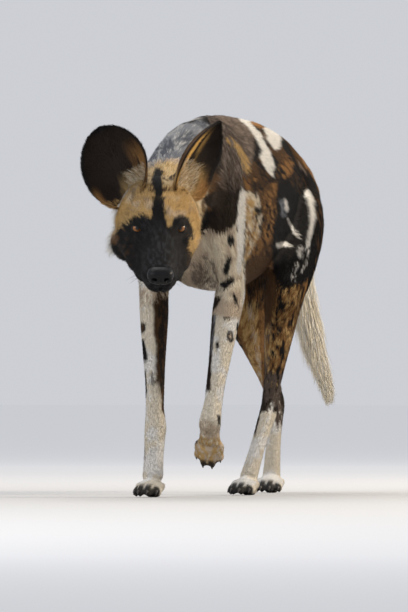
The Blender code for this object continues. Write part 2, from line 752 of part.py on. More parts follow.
def socket_cutter(side):
    """The hollow for an eyeball and the opening between its lids."""
    matrix = head_matrix()
    centre = mirrored(EYE_CENTRE, side)
    bm = bmesh.new()
    hollow = EYE_RADIUS + GAP
    add_blob(bm, centre, (hollow, hollow, hollow), matrix, segments=16)
    ball = object_from(bm, "hollow")
    bm = bmesh.new()
    facing = (matrix @ Matrix.Translation(centre)
              @ Matrix.Rotation(side * EYE_OUTWARD, 4, "Z") @ Matrix.Rotation(-0.10, 4, "X"))
    wide, high = EYE_OPENING
    rings = []
    for reach in (0.0, -0.030):
        ring = []
        for k in range(20):
            angle = math.tau * k / 20
            almond = abs(math.sin(angle)) ** 1.25
            ring.append(Vector((wide * math.cos(angle), reach,
                                high * math.copysign(almond, math.sin(angle)))))
        rings.append(ring)
    add_loft(bm, rings, facing)
    return [ball, object_from(bm, "almond")]


def make_nose():
    """The nose pad with its two nostrils."""
    matrix = head_matrix()
    bm = bmesh.new()
    for centre, radii in NOSE_PAD:
        add_blob(bm, centre, radii, matrix)
    nose = fused(object_from(bm, "nose"), 0.0014, 3)
    thinned(nose, 220)
    cutters = []
    for side in (-1, 1):
        bm = bmesh.new()
        centre, radii = NOSTRIL
        add_blob(bm, mirrored(centre, side), radii, matrix, (0, side * 0.5, side * 0.45), 12)
        cutters.append(object_from(bm, "nostril"))
    return largest_shell(boolean(nose, cutters, "DIFFERENCE"))


def mouth_cutter():
    """A thin groove round the muzzle, where the lips meet."""
    matrix = head_matrix()
    line = ((-0.130, -0.0590), (-0.106, -0.0590), (-0.090, -0.0605), (-0.070, -0.0595),
            (-0.048, -0.0560), (-0.028, -0.0515), (-0.014, -0.0480))
    upper = [(y, z + MOUTH_GAPE / 2) for y, z in line]
    lower = [(y, z - MOUTH_GAPE / 2) for y, z in reversed(line)]
    bm = bmesh.new()
    rings = [[Vector((x, y, z)) for y, z in upper + lower] for x in (-0.08, 0.08)]
    add_loft(bm, rings, matrix)
    slab = object_from(bm, "groove")
    bm = bmesh.new()
    shrunk = []
    for along, top, bottom, width, widest, above, below in between(SKULL, 3):
        shrunk.append(section(along + 2 * MOUTH_INSET, top - MOUTH_INSET, bottom + MOUTH_INSET,
                              width - MOUTH_INSET + 0.003, widest, above, below))
    add_loft(bm, shrunk, matrix)
    return boolean(slab, [object_from(bm, "core")], "DIFFERENCE")


def ear_row(t):
    """Half width, half angle of the curl, and how far back the middle of the ear lies at t,
    which runs from the root (0) to the tip (1)."""
    widest, level = 0.0595, 0.50
    if t > level:
        half = widest * max(0.0, 1 - ((t - level) / (1 - level)) ** 2) ** 0.56
    else:
        half = widest * (0.48 + 0.52 * math.sin(math.pi / 2 * t / level) ** 0.65)
    curl = math.radians(112 - 46 * min(t / 0.40, 1) ** 0.8 - 30 * max(t - 0.40, 0) / 0.60)
    return max(half, 0.004), curl, 0.030 + 0.090 * t - 0.100 * t * t


def ear_frame(side_name):
    """The ear's place: its width along X, its opening towards -Y and its height along Z."""
    side = 1 if side_name == "left" else -1
    root = head_matrix() @ mirrored(EAR_ROOT, side)
    tilt, lean, turn = EAR_POSE[side_name]
    yaw = Matrix.Rotation(HEAD_YAW, 4, "Z")
    place = (Matrix.Rotation(lean, 4, "Y") @ Matrix.Rotation(tilt, 4, "X")
             @ Matrix.Rotation(turn, 4, "Z"))
    return Matrix.Translation(root) @ yaw @ place


def make_ear(side_name, prints):
    """A deep round scoop which ends on the surface of the head and neck."""
    matrix = ear_frame(side_name)
    rows, columns = 8, 11
    front, back = [], []
    for i in range(rows):
        t = math.sin(math.pi / 2 * i / (rows - 1)) ** 1.1
        half, curl, middle = ear_row(t)
        radius = half / math.sin(min(curl, math.pi / 2))
        for j in range(columns):
            place = 2 * j / (columns - 1) - 1
            angle = curl * place
            thick = EAR_THICKNESS * (1.0 - 0.45 * abs(place) ** 3) * (1.35 - 0.6 * t)
            out = Vector((math.sin(angle), math.cos(angle), 0))
            point = Vector((0, middle - radius, EAR_HEIGHT * t)) + out * radius
            front.append(point - out * thick / 2)
            back.append(point + out * thick / 2)
    bm = bmesh.new()
    sheets = [[bm.verts.new(matrix @ co) for co in sheet] for sheet in (front, back)]
    sew_sheets(bm, sheets, rows, columns)
    ear = object_from(bm, f"ear_{side_name}")
    for solid in prints:
        boolean(ear, [twin(solid, "print")], "DIFFERENCE")
    return largest_shell(ear)


def sew_sheets(bm, sheets, rows, columns):
    """Joins two like sheets of points into a closed shell, with triangles alike on both."""
    for i in range(rows - 1):
        for j in range(columns - 1):
            a, b = i * columns + j, i * columns + j + 1
            c, d = (i + 1) * columns + j + 1, (i + 1) * columns + j
            for sheet in sheets:
                bm.faces.new((sheet[a], sheet[b], sheet[c]))
                bm.faces.new((sheet[a], sheet[c], sheet[d]))
    rim = [j for j in range(columns)]
    rim += [i * columns + columns - 1 for i in range(1, rows)]
    rim += [(rows - 1) * columns + j for j in range(columns - 2, -1, -1)]
    rim += [i * columns for i in range(rows - 2, 0, -1)]
    first, second = sheets
    for a, b in zip(rim, rim[1:] + rim[:1]):
        bm.faces.new((first[a], first[b], second[b], second[a]))
    bmesh.ops.recalc_face_normals(bm, faces=bm.faces[:])


def paint(obj, colour, roughness):
    """Gives the piece its own material and smooth shading."""
    material = bpy.data.materials.new(obj.name)
    material.use_nodes = True
    shader = material.node_tree.nodes["Principled BSDF"]
    shader.inputs["Base Color"].default_value = (*colour, 1)
    shader.inputs["Roughness"].default_value = roughness
    shader.inputs["Metallic"].default_value = 0.0
    obj.data.materials.clear()
    obj.data.materials.append(material)
    obj.data.shade_smooth()
    obj.data.set_sharp_from_angle(angle=math.radians(50))


def centre_on_floor(pieces):
    """Moves all the pieces so that the middle of the space they take stands over the origin."""
    points = [vertex.co for piece in pieces for vertex in piece.data.vertices]
    middle = [(min(co[i] for co in points) + max(co[i] for co in points)) / 2 for i in (0, 1)]
    shift = Matrix.Translation((-middle[0], -middle[1], 0))
    for piece in pieces:
        piece.data.transform(shift)


def main():
    clear_scene()
    torso = make_flesh()
    legs = {}
    for kind in LEG_SEAMS:
        legs.update(part_legs(torso, kind))
    head, neck = part_head(torso)
    tail = part_tail(torso)
    limbs = [piece for name, leg in legs.items() for piece in part_limb(leg, name)]
    nose = make_nose()
    boolean(head, [grown(nose, "nose_print"), mouth_cutter()], "DIFFERENCE")
    prints = [grown(piece, "print") for piece in (head, neck)]
    ears = [make_ear(side_name, prints) for side_name in EAR_POSE]
    for solid in prints:
        bpy.data.objects.remove(solid, do_unlink=True)
    eyes = [make_eye(side_name, side) for side_name, side in SIDES]
    for side_name, side in SIDES:
        boolean(head, socket_cutter(side), "DIFFERENCE")
    with_locks(head, ruff_locks(head))
    largest_shell(boolean(head, [grown(neck, "neck_print")], "DIFFERENCE"))
    coats = {BROWN: [torso, *ears], TAN: [head, neck], WHITE: [tail, *limbs]}
    for colour, pieces in coats.items():
        for piece in pieces:
            paint(piece, colour, 0.85)
    for eye in eyes:
        paint(eye, AMBER, 0.05)
    paint(nose, BLACK, 0.35)
    centre_on_floor(list(bpy.data.objects))


main()
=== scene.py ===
"""Looks of a still, life-size model of an african wild dog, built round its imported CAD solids.

Lengths are in metres. The tables give places in the dog's own frame: +Z up, the dog faces -Y and its
left side is at +X. TO_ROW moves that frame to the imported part's frame.
"""

import math

import bmesh
import bpy
import numpy as np
from mathutils import Euler, Matrix, Vector
from mathutils.bvhtree import BVHTree


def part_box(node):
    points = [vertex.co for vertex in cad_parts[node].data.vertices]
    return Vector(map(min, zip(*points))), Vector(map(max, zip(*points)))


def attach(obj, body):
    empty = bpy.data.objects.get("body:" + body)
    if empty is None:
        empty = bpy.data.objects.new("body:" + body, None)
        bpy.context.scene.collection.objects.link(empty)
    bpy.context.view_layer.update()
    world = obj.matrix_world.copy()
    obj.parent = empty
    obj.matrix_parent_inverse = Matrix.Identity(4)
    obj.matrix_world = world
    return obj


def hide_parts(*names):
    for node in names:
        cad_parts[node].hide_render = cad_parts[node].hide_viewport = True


SIDES = {"left": 1, "right": -1}

# Camera: azimuth of the photograph, distance, focal length in pixels, height, side step
AZIMUTH = math.radians(19.0)
DISTANCE = 14.0
FOCAL = 7840.0
PHOTO = (408, 612)
CAMERA_HEIGHT = 0.20
CAMERA_STEP = 0.0506
AIM_HEIGHT = 0.341
AIM_POINT = (-0.06, -0.27)
HEAD_SCALE = 571          # pixels of the photograph to a metre at the head

# Head
EYES_MID = Vector((0.040, -0.515, 0.4726))
HEAD_PITCH = math.radians(32.0)
HEAD_YAW = math.radians(21.5)
EYE_CENTRE = Vector((0.0375, 0.004, 0.000))
EYE_RADIUS = 0.0112
EYE_OUTWARD = math.radians(12.0)
EYE_OPENING = (0.0087, 0.0034, 0.0045)     # half width, and height above and below
EYE_SLANT = math.radians(20.0)
EYE_PITCH = -0.40
PUPIL, IRIS, IRIS_RIM = 17, 44, 50         # degrees from the middle of the gaze
LID_POINTS = 64
SKULL = (
    (0.120, 0.040, -0.046, 0.046, 0.000, 2.1, 2.1),
    (0.098, 0.051, -0.060, 0.062, -0.006, 2.1, 2.1),
    (0.070, 0.057, -0.070, 0.071, -0.012, 2.2, 2.0),
    (0.045, 0.055, -0.074, 0.075, -0.018, 2.3, 2.0),
    (0.020, 0.046, -0.075, 0.072, -0.024, 2.3, 2.0),
    (0.002, 0.033, -0.074, 0.060, -0.028, 2.3, 2.0),
    (-0.016, 0.019, -0.072, 0.046, -0.030, 2.2, 2.1),
    (-0.034, 0.009, -0.070, 0.037, -0.034, 2.3, 2.2),
    (-0.054, 0.003, -0.070, 0.0335, -0.037, 2.4, 2.3),
    (-0.074, -0.002, -0.071, 0.032, -0.040, 2.4, 2.4),
    (-0.089, -0.007, -0.071, 0.030, -0.042, 2.4, 2.4),
    (-0.100, -0.013, -0.069, 0.026, -0.043, 2.3, 2.2),
    (-0.107, -0.021, -0.064, 0.018, -0.043, 2.0, 2.0),
)
HEAD_FORMS = (
    ((0.055, 0.036, -0.034), (0.021, 0.038, 0.031)),
    ((0.046, 0.016, -0.014), (0.016, 0.034, 0.018)),
    ((0.046, 0.016, -0.040), (0.021, 0.040, 0.027)),
    ((0.028, 0.008, 0.019), (0.020, 0.018, 0.013)),
    ((0.037, -0.004, -0.050), (0.020, 0.046, 0.023)),
    ((0.027, -0.040, -0.055), (0.017, 0.036, 0.017)),
    ((0.018, -0.078, -0.041), (0.0165, 0.028, 0.019)),
    ((0.012, -0.070, -0.0635), (0.014, 0.026, 0.011)),
    ((0.048, 0.062, 0.016), (0.018, 0.025, 0.017)),
    ((0.0375, 0.004, 0.000), (0.0134, 0.0134, 0.0134)),
)
RIGHT_CHEEK = ((-0.054, 0.050, -0.054), (0.028, 0.036, 0.036))
NOSE_LEATHER = (
    (-0.086, -0.0175, -0.0450, 0.0190, -0.031, 2.4, 2.2),
    (-0.096, -0.0160, -0.0465, 0.0222, -0.032, 2.6, 2.2),
    (-0.104, -0.0165, -0.0470, 0.0234, -0.032, 2.8, 2.2),
    (-0.110, -0.0180, -0.0465, 0.0226, -0.033, 2.7, 2.1),
    (-0.1145, -0.0210, -0.0445, 0.0194, -0.033, 2.6, 2.0),
    (-0.1170, -0.0245, -0.0405, 0.0140, -0.033, 2.3, 2.0),
    (-0.1180, -0.0280, -0.0365, 0.0060, -0.033, 2.0, 2.0),
)
NOSTRIL = (0.0110, -0.0335)
MOUTH = ((-0.130, -0.0590), (-0.106, -0.0590), (-0.090, -0.0605), (-0.070, -0.0595),
         (-0.048, -0.0560), (-0.028, -0.0515), (-0.014, -0.0480))

# Ears: root, height, thickness, and for each side the tilt back, lean outwards and turn
EAR_ROOT = Vector((0.054, 0.050, 0.026))
EAR_HEIGHT = 0.148
EAR_THICKNESS = 0.0034
EAR_START = -0.10
EAR_POSE = {"right": (-13.0, -21.5, -14.0), "left": (7.0, 31.4, 68.0)}
EAR_HINGE = {"right": 112.0, "left": 28.0}   # where the inner wall stops curling
EAR_TURN = {"right": 0.0, "left": 0.70}      # how far the colours move round to the seen inner face
# Each ear's greatest half width and where it is, its root's share of that width, how round its top
# is, and how far back its middle bends
EAR_FORM = {"right": (0.0595, 0.50, 0.36, 0.56, 0.090, -0.100),
            "left": (0.0608, 0.55, 0.25, 0.89, 0.081, -0.081)}

# Joints of each limb: top, shoulder or hip, elbow or knee, wrist or hock, root of the toes
LIMBS = {
    "fore_right": (
        (-0.040, -0.170, 0.632), (-0.072, -0.258, 0.510), (-0.078, -0.206, 0.385),
        (-0.062, -0.243, 0.122), (-0.058, -0.268, 0.034),
    ),
    "fore_left": (
        (0.040, -0.165, 0.632), (0.066, -0.256, 0.510), (0.064, -0.190, 0.388),
        (0.058, -0.290, 0.134), (0.047, -0.262, 0.099),
    ),
    "hind_right": (
        (-0.028, 0.270, 0.605), (-0.046, 0.285, 0.520), (-0.058, 0.242, 0.342),
        (-0.044, 0.385, 0.170), (-0.042, 0.352, 0.032),
    ),
    "hind_left": (
        (0.026, 0.262, 0.600), (0.051, 0.260, 0.515), (0.064, 0.110, 0.370),
        (0.033, 0.115, 0.157), (0.022, 0.030, 0.032),
    ),
}
LIMB_RADII = (0.060, 0.046, 0.026, 0.020)
ANKLES = {"fore": ((3.50, 0.0192, 0.0172), (4.00, 0.0205, 0.0165)),
          "hind": ((3.60, 0.0152, 0.0152), (4.00, 0.0180, 0.0150))}
PAW_TURNS = {"fore_right": (0, 0, -3), "fore_left": (96, 8, 12),
             "hind_right": (0, 0, 4), "hind_left": (0, 0, -12)}
PAW_SIZE = {"fore": 0.85, "hind": 0.86}
PAW_BOTTOM = -0.034
SOLE_CUT = 0.0015
TOES = ((-0.0235, -0.018), (-0.0090, -0.034), (0.0090, -0.034), (0.0235, -0.018))

NECK_LINE = ((0.022, -0.470, 0.492), (0.004, -0.370, 0.520), (0.000, -0.260, 0.548))
TRUNK_LINE = ((0.000, -0.290, 0.520), (0.000, -0.080, 0.530), (0.000, 0.160, 0.555),
              (0.000, 0.400, 0.550))
TAIL_LINE = (
    (0.000, 0.390, 0.572), (-0.003, 0.425, 0.545), (-0.012, 0.444, 0.490), (-0.016, 0.450, 0.430),
    (-0.012, 0.452, 0.380), (-0.005, 0.454, 0.335), (0.002, 0.457, 0.298), (0.014, 0.462, 0.250),
    (0.022, 0.468, 0.215), (0.026, 0.474, 0.188),
)
TAIL_RADII = (0.020, 0.015, 0.011, 0.010, 0.010, 0.010, 0.0095, 0.008, 0.006, 0.0035)

# Skin
VOXEL = 0.0035
JOIN = 0.0004            # how far the solids swell, so that they meet
FLOOR_GAP = 0.0002       # how far hair stays above the floor

# Coats: depth of the coat over the skin, and each tuft's length and width, and tufts a square metre
COATS = {
    "face": (0.0014, 0.0056, 0.0008, 1000000),
    "neck": (0.0056, 0.0145, 0.0011, 260000),
    "trunk": (0.0040, 0.0125, 0.0013, 250000),
    "upper": (0.0034, 0.0105, 0.0012, 250000),
    "lower": (0.0018, 0.0068, 0.0009, 420000),
    "paw": (0.0010, 0.0042, 0.0008, 560000),
    "tail": (0.0030, 0.0200, 0.0025, 0),
}

# Material slot of each part's coat, its pieces with each tuft's rings, and most triangles in a piece
SLOTS = {"head": "head", "neck": "neck", "trunk": "torso",
         "fore_left": "forearm_left", "fore_right": "forearm_right",
         "hind_left": "thigh_left", "hind_right": "thigh_right"}
COAT_PIECES = [(group, *kind) for group in sorted(SLOTS) for kind in (("short", 1), ("long", 2))]
PIECE_TRIANGLES = 190000

# Whiskers: places back and up on each side of the muzzle, and how they tilt
WHISKERS = tuple((-0.060 - 0.010 * k, -0.036 - 0.006 * row, -0.1 - 0.3 * row)
                 for row in range(4) for k in range(4)) + ((0.004, -0.060, -0.6), (0.010, -0.062, -0.7))

# Colours of the hair
BLACK = (0.008, 0.007, 0.007)
UMBER = (0.024, 0.015, 0.010)
BROWN = (0.095, 0.048, 0.020)
TAUPE = (0.120, 0.090, 0.072)
DUN = (0.240, 0.190, 0.155)
OCHRE = (0.250, 0.125, 0.042)
ORANGE = (0.400, 0.200, 0.065)
TAN = (0.520, 0.340, 0.140)
GOLD = (0.640, 0.380, 0.110)
SAND = (0.660, 0.500, 0.280)
BEIGE = (0.560, 0.450, 0.340)
CREAM = (0.780, 0.690, 0.540)
IVORY = (0.940, 0.830, 0.620)
WHITE = (0.860, 0.830, 0.780)
STEEL = (0.085, 0.094, 0.115)
SLATE = (0.205, 0.218, 0.245)
PEARL = (0.480, 0.480, 0.470)

# Ruff: side, hairs, their range of angles and places back, their way, the range of their lift, and
# a colour of their own and its share
RUFF = (
    (1, 4000, (-80, 20), (0.016, 0.095), (0.40, 0.60, -0.80), (0.10, 0.32), TAN, 0),
    (-1, 4000, (-80, 20), (0.016, 0.095), (0.40, 0.60, -0.80), (0.10, 0.32), TAN, 0),
    (-1, 2400, (-46, 28), (0.060, 0.098), (0.90, 0.15, -0.50), (0.25, 0.50), WHITE, 1),
    (1, 2400, (-50, 34), (0.062, 0.098), (0.90, 0.15, -0.50), (0.20, 0.42), SAND, 0.75),
)

# Upper edge of the mask: pixels across from the face's middle line, and down the photograph
MASK_EDGE = ((-52, -47, -38, -32, -24, -15, -9, 0, 6, 9, 12, 15, 20, 28, 33, 36, 46),
             (238, 232, 229, 224, 219, 217, 220, 214, 220, 228, 227, 219, 217, 219, 226, 250, 254))

# Marks of the seen side: colour, half width in pixels or 0 for an area, how broken the mark is from 0
# to 1, and the pixels of the photograph that it runs through or round
NECK_MARKS = (
    # painted shade: the nape's grey-white hair is painted as blue-grey slate, with a darker steel band as
    # deeper shade
    (SLATE, 0, 0, ((145, 162), (150, 147), (168, 132), (194, 115), (214, 110), (219, 124), (206, 142),
                   (186, 162), (172, 172), (148, 176))),
    (STEEL, 6, 0.15, ((148, 157), (160, 152), (174, 146), (188, 138))),
    # painted highlight: pearl and white along the nape's top edge
    (PEARL, 3.0, 0.2, ((157, 144), (166, 135), (176, 128), (188, 121))),
    (WHITE, 3.4, 0.0, ((198, 115), (212, 112), (226, 112), (238, 115))),
    (PEARL, 0, 0.80, ((145, 162), (150, 147), (168, 132), (194, 115), (214, 110), (219, 124), (206, 142),
                      (186, 162), (172, 172), (148, 176))),
    (BEIGE, 4.0, 0.3, ((150, 168), (162, 166), (174, 165))),
)
BODY_MARKS = (
    (DUN, 0, 0, ((206, 114), (240, 114), (252, 128), (252, 150), (248, 176), (236, 180), (224, 160))),
    (TAUPE, 0, 0.55, ((206, 114), (240, 114), (252, 128), (252, 150), (248, 176), (236, 180), (224, 160))),
    (UMBER, 0, 0, ((220, 176), (234, 172), (245, 176), (245, 190), (238, 212), (233, 227), (216, 231),
                   (208, 224), (213, 211), (200, 196), (214, 188))),
    (TAUPE, 0, 0.2, ((222, 150), (235, 148), (244, 168), (245, 184), (232, 190), (218, 188), (218, 168))),
    (DUN, 0, 0.6, ((222, 150), (235, 148), (244, 168), (240, 180), (226, 184), (218, 168))),
    (TAN, 3.2, 0.45, ((229, 139), (238, 147), (243, 157), (246, 168))),
    (UMBER, 0, 0, ((246, 176), (258, 168), (277, 176), (277, 250), (262, 262), (244, 262))),
    (BROWN, 0, 0.35, ((243, 170), (262, 150), (279, 176), (278, 252), (262, 262), (244, 262))),
    (OCHRE, 0, 0.50, ((243, 176), (258, 176), (279, 186), (277, 240), (262, 256), (244, 258))),
    (ORANGE, 0, 0.80, ((258, 186), (276, 180), (279, 200), (272, 236), (262, 240))),
    (CREAM, 0, 0.62, ((243, 190), (256, 190), (262, 215), (258, 238), (248, 254), (243, 262))),
    (TAN, 0, 0.45, ((243, 196), (252, 196), (258, 215), (256, 238), (248, 256), (243, 262))),
    (BLACK, 0, 0.55, ((250, 180), (268, 176), (277, 200), (275, 232), (262, 240), (254, 214))),
    (WHITE, 0, 0, ((236, 116), (246, 119), (256, 130), (263, 141), (269, 152), (273, 166), (272, 176),
                   (264, 169), (257, 157), (260, 149), (254, 138), (246, 127), (238, 121))),
    (WHITE, 0, 0, ((261, 127), (267, 124), (275, 130), (279, 138), (277, 148), (272, 149), (266, 140))),
    (ORANGE, 0, 0.4, ((279, 155), (285, 152), (292, 160), (291, 169), (284, 179), (279, 182), (281, 170),
                      (277, 164))),
    (BEIGE, 0, 0, ((180, 262), (196, 236), (208, 227), (217, 232), (236, 226), (245, 240), (243, 262),
                   (240, 300), (244, 320), (206, 312), (180, 296))),
    (CREAM, 0, 0.45, ((200, 236), (217, 232), (236, 226), (245, 240), (240, 300), (206, 300))),
    (DUN, 0, 0.60, ((190, 262), (204, 252), (214, 262), (220, 292), (204, 296), (190, 280))),
    (WHITE, 0, 0, ((241, 186), (245, 190), (245, 211), (244, 236), (242, 260), (239, 274), (236, 270),
                   (237, 255), (236, 236), (237, 218), (238, 200))),
    (BLACK, 0.7, 0.1, ((244.5, 214), (244, 240), (242.5, 262))),
    (BLACK, 3.9, 0, ((230.5, 236.5), (231, 240.5))),
    (BLACK, 3.0, 0, ((228.5, 257.5), (225.5, 270))),
    (BLACK, 3.2, 0, ((231, 279), (223.5, 285.5))),
    (UMBER, 0, 0, ((207, 294), (223, 295), (219, 304), (214, 312), (209, 304))),
    (BLACK, 2.0, 0.1, ((232, 293), (235, 297), (237, 306))),
    # partly real and partly painted shade: the dark brown belly between the legs, in the shade under the
    # body
    (BROWN, 0, 0, ((244, 264), (262, 250), (274, 262), (277, 300), (262, 340), (248, 330), (245, 290))),
    (BLACK, 0, 0, ((274, 182), (285, 176), (300, 166), (313, 180), (323, 204), (324, 238), (318, 254),
                   (306, 282), (284, 288), (273, 270), (271, 240), (276, 210))),
    (BROWN, 0, 0.62, ((284, 176), (300, 168), (322, 204), (324, 238), (318, 254), (314, 200), (296, 190))),
    (SLATE, 3.0, 0.2, ((281, 200), (284, 206), (282, 212))),
    (WHITE, 2.0, 0.2, ((284, 199), (286, 207))),
    (WHITE, 2.6, 0, ((278, 243.5), (286, 244.5))),
    (WHITE, 0.9, 0.1, ((287, 217), (291, 225), (296, 237))),
    (WHITE, 0, 0, ((303, 189), (308, 188), (312, 197), (313.5, 212), (312, 228), (310, 244), (306, 249),
                   (305, 240), (308, 222), (307, 208), (304, 199))),
    (WHITE, 1.7, 0.1, ((305, 247), (300, 246), (297, 251), (302, 255))),
    (WHITE, 1.9, 0.2, ((297, 264), (294, 272), (294, 280))),
    (WHITE, 1.2, 0.2, ((309, 250), (306, 262), (302, 270))),
)
HEAD_MARKS = (
    (TAN, 0, 0, ((138, 190), (146, 173), (158, 165), (176, 166), (184, 176), (192, 192), (180, 200),
                 (136, 200))),
    (SAND, 0, 0.15, ((144, 186), (148, 172), (158, 166), (176, 166), (184, 180), (180, 190))),
    (BROWN, 0, 0.90, ((138, 196), (148, 174), (180, 174), (190, 196))),
    (UMBER, 2.4, 0.2, ((141, 176), (146, 183))),
    (UMBER, 2.4, 0.2, ((171, 180), (176, 175))),
    (BLACK, 4.6, 0, ((157.2, 175), (157.4, 184), (158, 196))),
)
LEG_MARKS = {
    "fore_right": (
        (BEIGE, 0, 0.3, ((138, 286), (168, 286), (168, 304), (138, 304))),
        (BROWN, 0, 0, ((157, 296), (170, 296), (170, 350), (168, 385), (164.5, 416), (161, 410),
                       (160.5, 385), (157.5, 350), (157, 310))),
        (UMBER, 0, 0.4, ((157, 296), (170, 296), (170, 350), (168, 385), (164.5, 416), (160, 385))),
        (BLACK, 3.3, 0, ((142.5, 325), (142.5, 329))),
        (BROWN, 1.4, 0, ((142.5, 325.5), (142.5, 328.5))),
        (BLACK, 2.7, 0, ((142, 341), (144, 350), (145, 358))),
        (BLACK, 1.3, 0, ((145, 371), (145.6, 395))),
        (TAUPE, 1.3, 0.2, ((144, 446), (144.5, 458))),
    ),
    "fore_left": (
        (BLACK, 2.7, 0, ((234.5, 302), (234.5, 307))),
        (BEIGE, 1.1, 0, ((234.5, 303), (234.5, 306))),
        (BLACK, 1.7, 0, ((226, 317), (234, 315))),
        (BLACK, 3.0, 0, ((230, 333), (231, 339))),
        (BEIGE, 1.2, 0, ((230, 334.5), (231, 337.5))),
        (BLACK, 1.7, 0, ((217, 342), (218, 347))),
        (UMBER, 2.6, 0, ((214, 308), (211.5, 335), (209, 360), (208, 388))),
        (SLATE, 0.9, 0.3, ((215, 312), (213, 335), (211, 352))),
        (BLACK, 1.5, 0, ((218.5, 416), (219, 423))),
        (BEIGE, 0, 0.35, ((194, 424), (206, 418), (214, 424), (226, 428), (226, 470), (194, 470))),
        (TAN, 0, 0.66, ((194, 434), (210, 438), (226, 434), (226, 470), (194, 470))),
        (UMBER, 1.7, 0, ((197, 427), (196, 442))),
    ),
    "hind_left": (
        (UMBER, 0, 0, ((262, 280), (305, 270), (300, 330), (290, 380), (280, 412), (262, 412), (256, 436),
                       (250, 430), (262, 392), (264, 330))),
        (TAUPE, 0, 0.20, ((262, 288), (276, 290), (276, 372), (264, 372))),
        (OCHRE, 0, 0.45, ((262, 284), (304, 278), (298, 330), (288, 376), (268, 380))),
        (TAN, 0, 0.66, ((262, 284), (304, 278), (298, 330), (290, 386), (266, 386))),
        (BLACK, 0, 0.48, ((272, 290), (296, 284), (293, 330), (284, 380), (270, 376))),
        (BEIGE, 1.0, 0.1, ((263.5, 292), (264, 320), (264, 350))),
        (TAUPE, 0, 0.30, ((262, 372), (284, 372), (280, 404), (266, 410))),
        (WHITE, 2.4, 0.1, ((272, 404), (268, 420), (262, 434))),
    ),
    "hind_right": (
        (BROWN, 0, 0, ((230, 262), (282, 262), (284, 330), (280, 392), (262, 396), (236, 330))),
        (OCHRE, 0, 0.30, ((232, 284), (264, 290), (264, 392), (250, 372), (236, 330))),
        (TAN, 0, 0.45, ((238, 300), (258, 300), (262, 390), (250, 366))),
        (BEIGE, 2.2, 0.3, ((250, 306), (257, 345), (260, 385))),
        # painted shade: umber at the top of the far thigh, where it goes under the belly
        (UMBER, 0, 0.35, ((244, 262), (280, 262), (276, 310), (250, 305))),
        (TAUPE, 0, 0.1, ((272, 386), (288, 386), (288, 420), (276, 430))),
        (UMBER, 1.8, 0.1, ((281, 392), (284, 415), (283, 436))),
    ),
}


def frame_matrices():
    """The dog's frame in the row frame, and the head's frame in the row frame."""
    boxes = [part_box(f"eye_{side}") for side in SIDES]
    middle = sum((low + high for low, high in boxes), Vector()) / 4
    head = (Matrix.Translation(EYES_MID) @ Matrix.Rotation(HEAD_YAW, 4, "Z")
            @ Matrix.Rotation(HEAD_PITCH, 4, "X"))
    shift = middle - head @ Vector((0, EYE_CENTRE.y, EYE_CENTRE.z))
    shift.z = 0
    to_row = Matrix.Translation(shift)
    return to_row, to_row @ head


def array_of(vectors):
    return np.array([tuple(v) for v in vectors], float)


def moved(points, matrix):
    """The points (N, 3) moved by a matrix."""
    m = np.array(matrix)
    return points @ m[:3, :3].T + m[:3, 3]


def turned(vectors, matrix):
    return vectors @ np.array(matrix)[:3, :3].T


def unit(vectors):
    return vectors / np.maximum(np.linalg.norm(vectors, axis=1, keepdims=True), 1e-12)


def smoothstep(low, high, values):
    t = np.clip((values - low) / (high - low), 0, 1)
    return t * t * (3 - 2 * t)


def lattice(cell, seed):
    """A steady random number from 0 to 1 for each whole-numbered place (N, 3)."""
    n = cell[:, 0] * 73856093 ^ cell[:, 1] * 19349663 ^ cell[:, 2] * 83492791 ^ (seed * 40503 + 977)
    n = (n ^ (n >> 13)) & 0x7FFFFFFF
    n = (n * 1274126177) & 0x7FFFFFFF
    n = (n ^ (n >> 15)) * 69069 & 0x7FFFFFFF
    return (n & 0xFFFFF) / float(0xFFFFF)


def noise(points, size, seed):
    """Smooth noise from 0 to 1 at the points, whose lumps are about the given size."""
    place = points / size
    cell = np.floor(place).astype(np.int64)
    part = place - cell
    part = part * part * (3 - 2 * part)
    total = np.zeros(len(points))
    for corner in np.ndindex(2, 2, 2):
        offset = np.array(corner)
        share = np.prod(np.where(offset == 1, part, 1 - part), axis=1)
        total += share * lattice(cell + offset, seed)
    return total


def rough_noise(points, size, seed):
    """Noise with finer noise on it, from 0 to 1."""
    return (noise(points, size, seed) * 0.6 + noise(points, size * 0.47, seed + 1) * 0.27
            + noise(points, size * 0.21, seed + 2) * 0.13)


def between(rows, steps):
    """Rows of numbers with smooth rows drawn between each two (Catmull-Rom)."""
    rows = [np.array(row, float) for row in rows]
    ends = [2 * rows[0] - rows[1]] + rows + [2 * rows[-1] - rows[-2]]
    fine = []
    for i in range(1, len(ends) - 2):
        a, b, c, d = ends[i - 1:i + 3]
        for k in range(steps):
            t = k / steps
            fine.append(0.5 * (2 * b + (c - a) * t + (2 * a - 5 * b + 4 * c - d) * t * t
                               + (3 * b - a - 3 * c + d) * t ** 3))
    return fine + [rows[-1]]


def power(value, exponent):
    return math.copysign(abs(value) ** exponent, value)


def section(along, top, bottom, half_width, widest, power_above, power_below, points=48):
    """A closed ring round the head, rounder or squarer above and below its widest level."""
    ring = []
    for k in range(points):
        angle = math.tau * k / points
        up = math.sin(angle) >= 0
        exponent = 2 / (power_above if up else power_below)
        height = (top if up else bottom) - widest
        ring.append(Vector((half_width * power(math.cos(angle), exponent), along,
                            widest + abs(power(math.sin(angle), exponent)) * height)))
    return ring


def tube(rows, points=24):
    """Rings round a path of rows: a point, half width and half depth."""
    centres = [Vector(row[:3]) for row in rows]
    rings = []
    for i, row in enumerate(rows):
        along = centres[min(i + 1, len(rows) - 1)] - centres[max(i - 1, 0)]
        along.normalize()
        across = Vector((1, 0, 0)) - along * along.x
        across.normalize()
        deep = along.cross(across)
        rings.append([centres[i] + across * math.cos(math.tau * k / points) * row[3]
                      + deep * math.sin(math.tau * k / points) * row[4] for k in range(points)])
    return rings


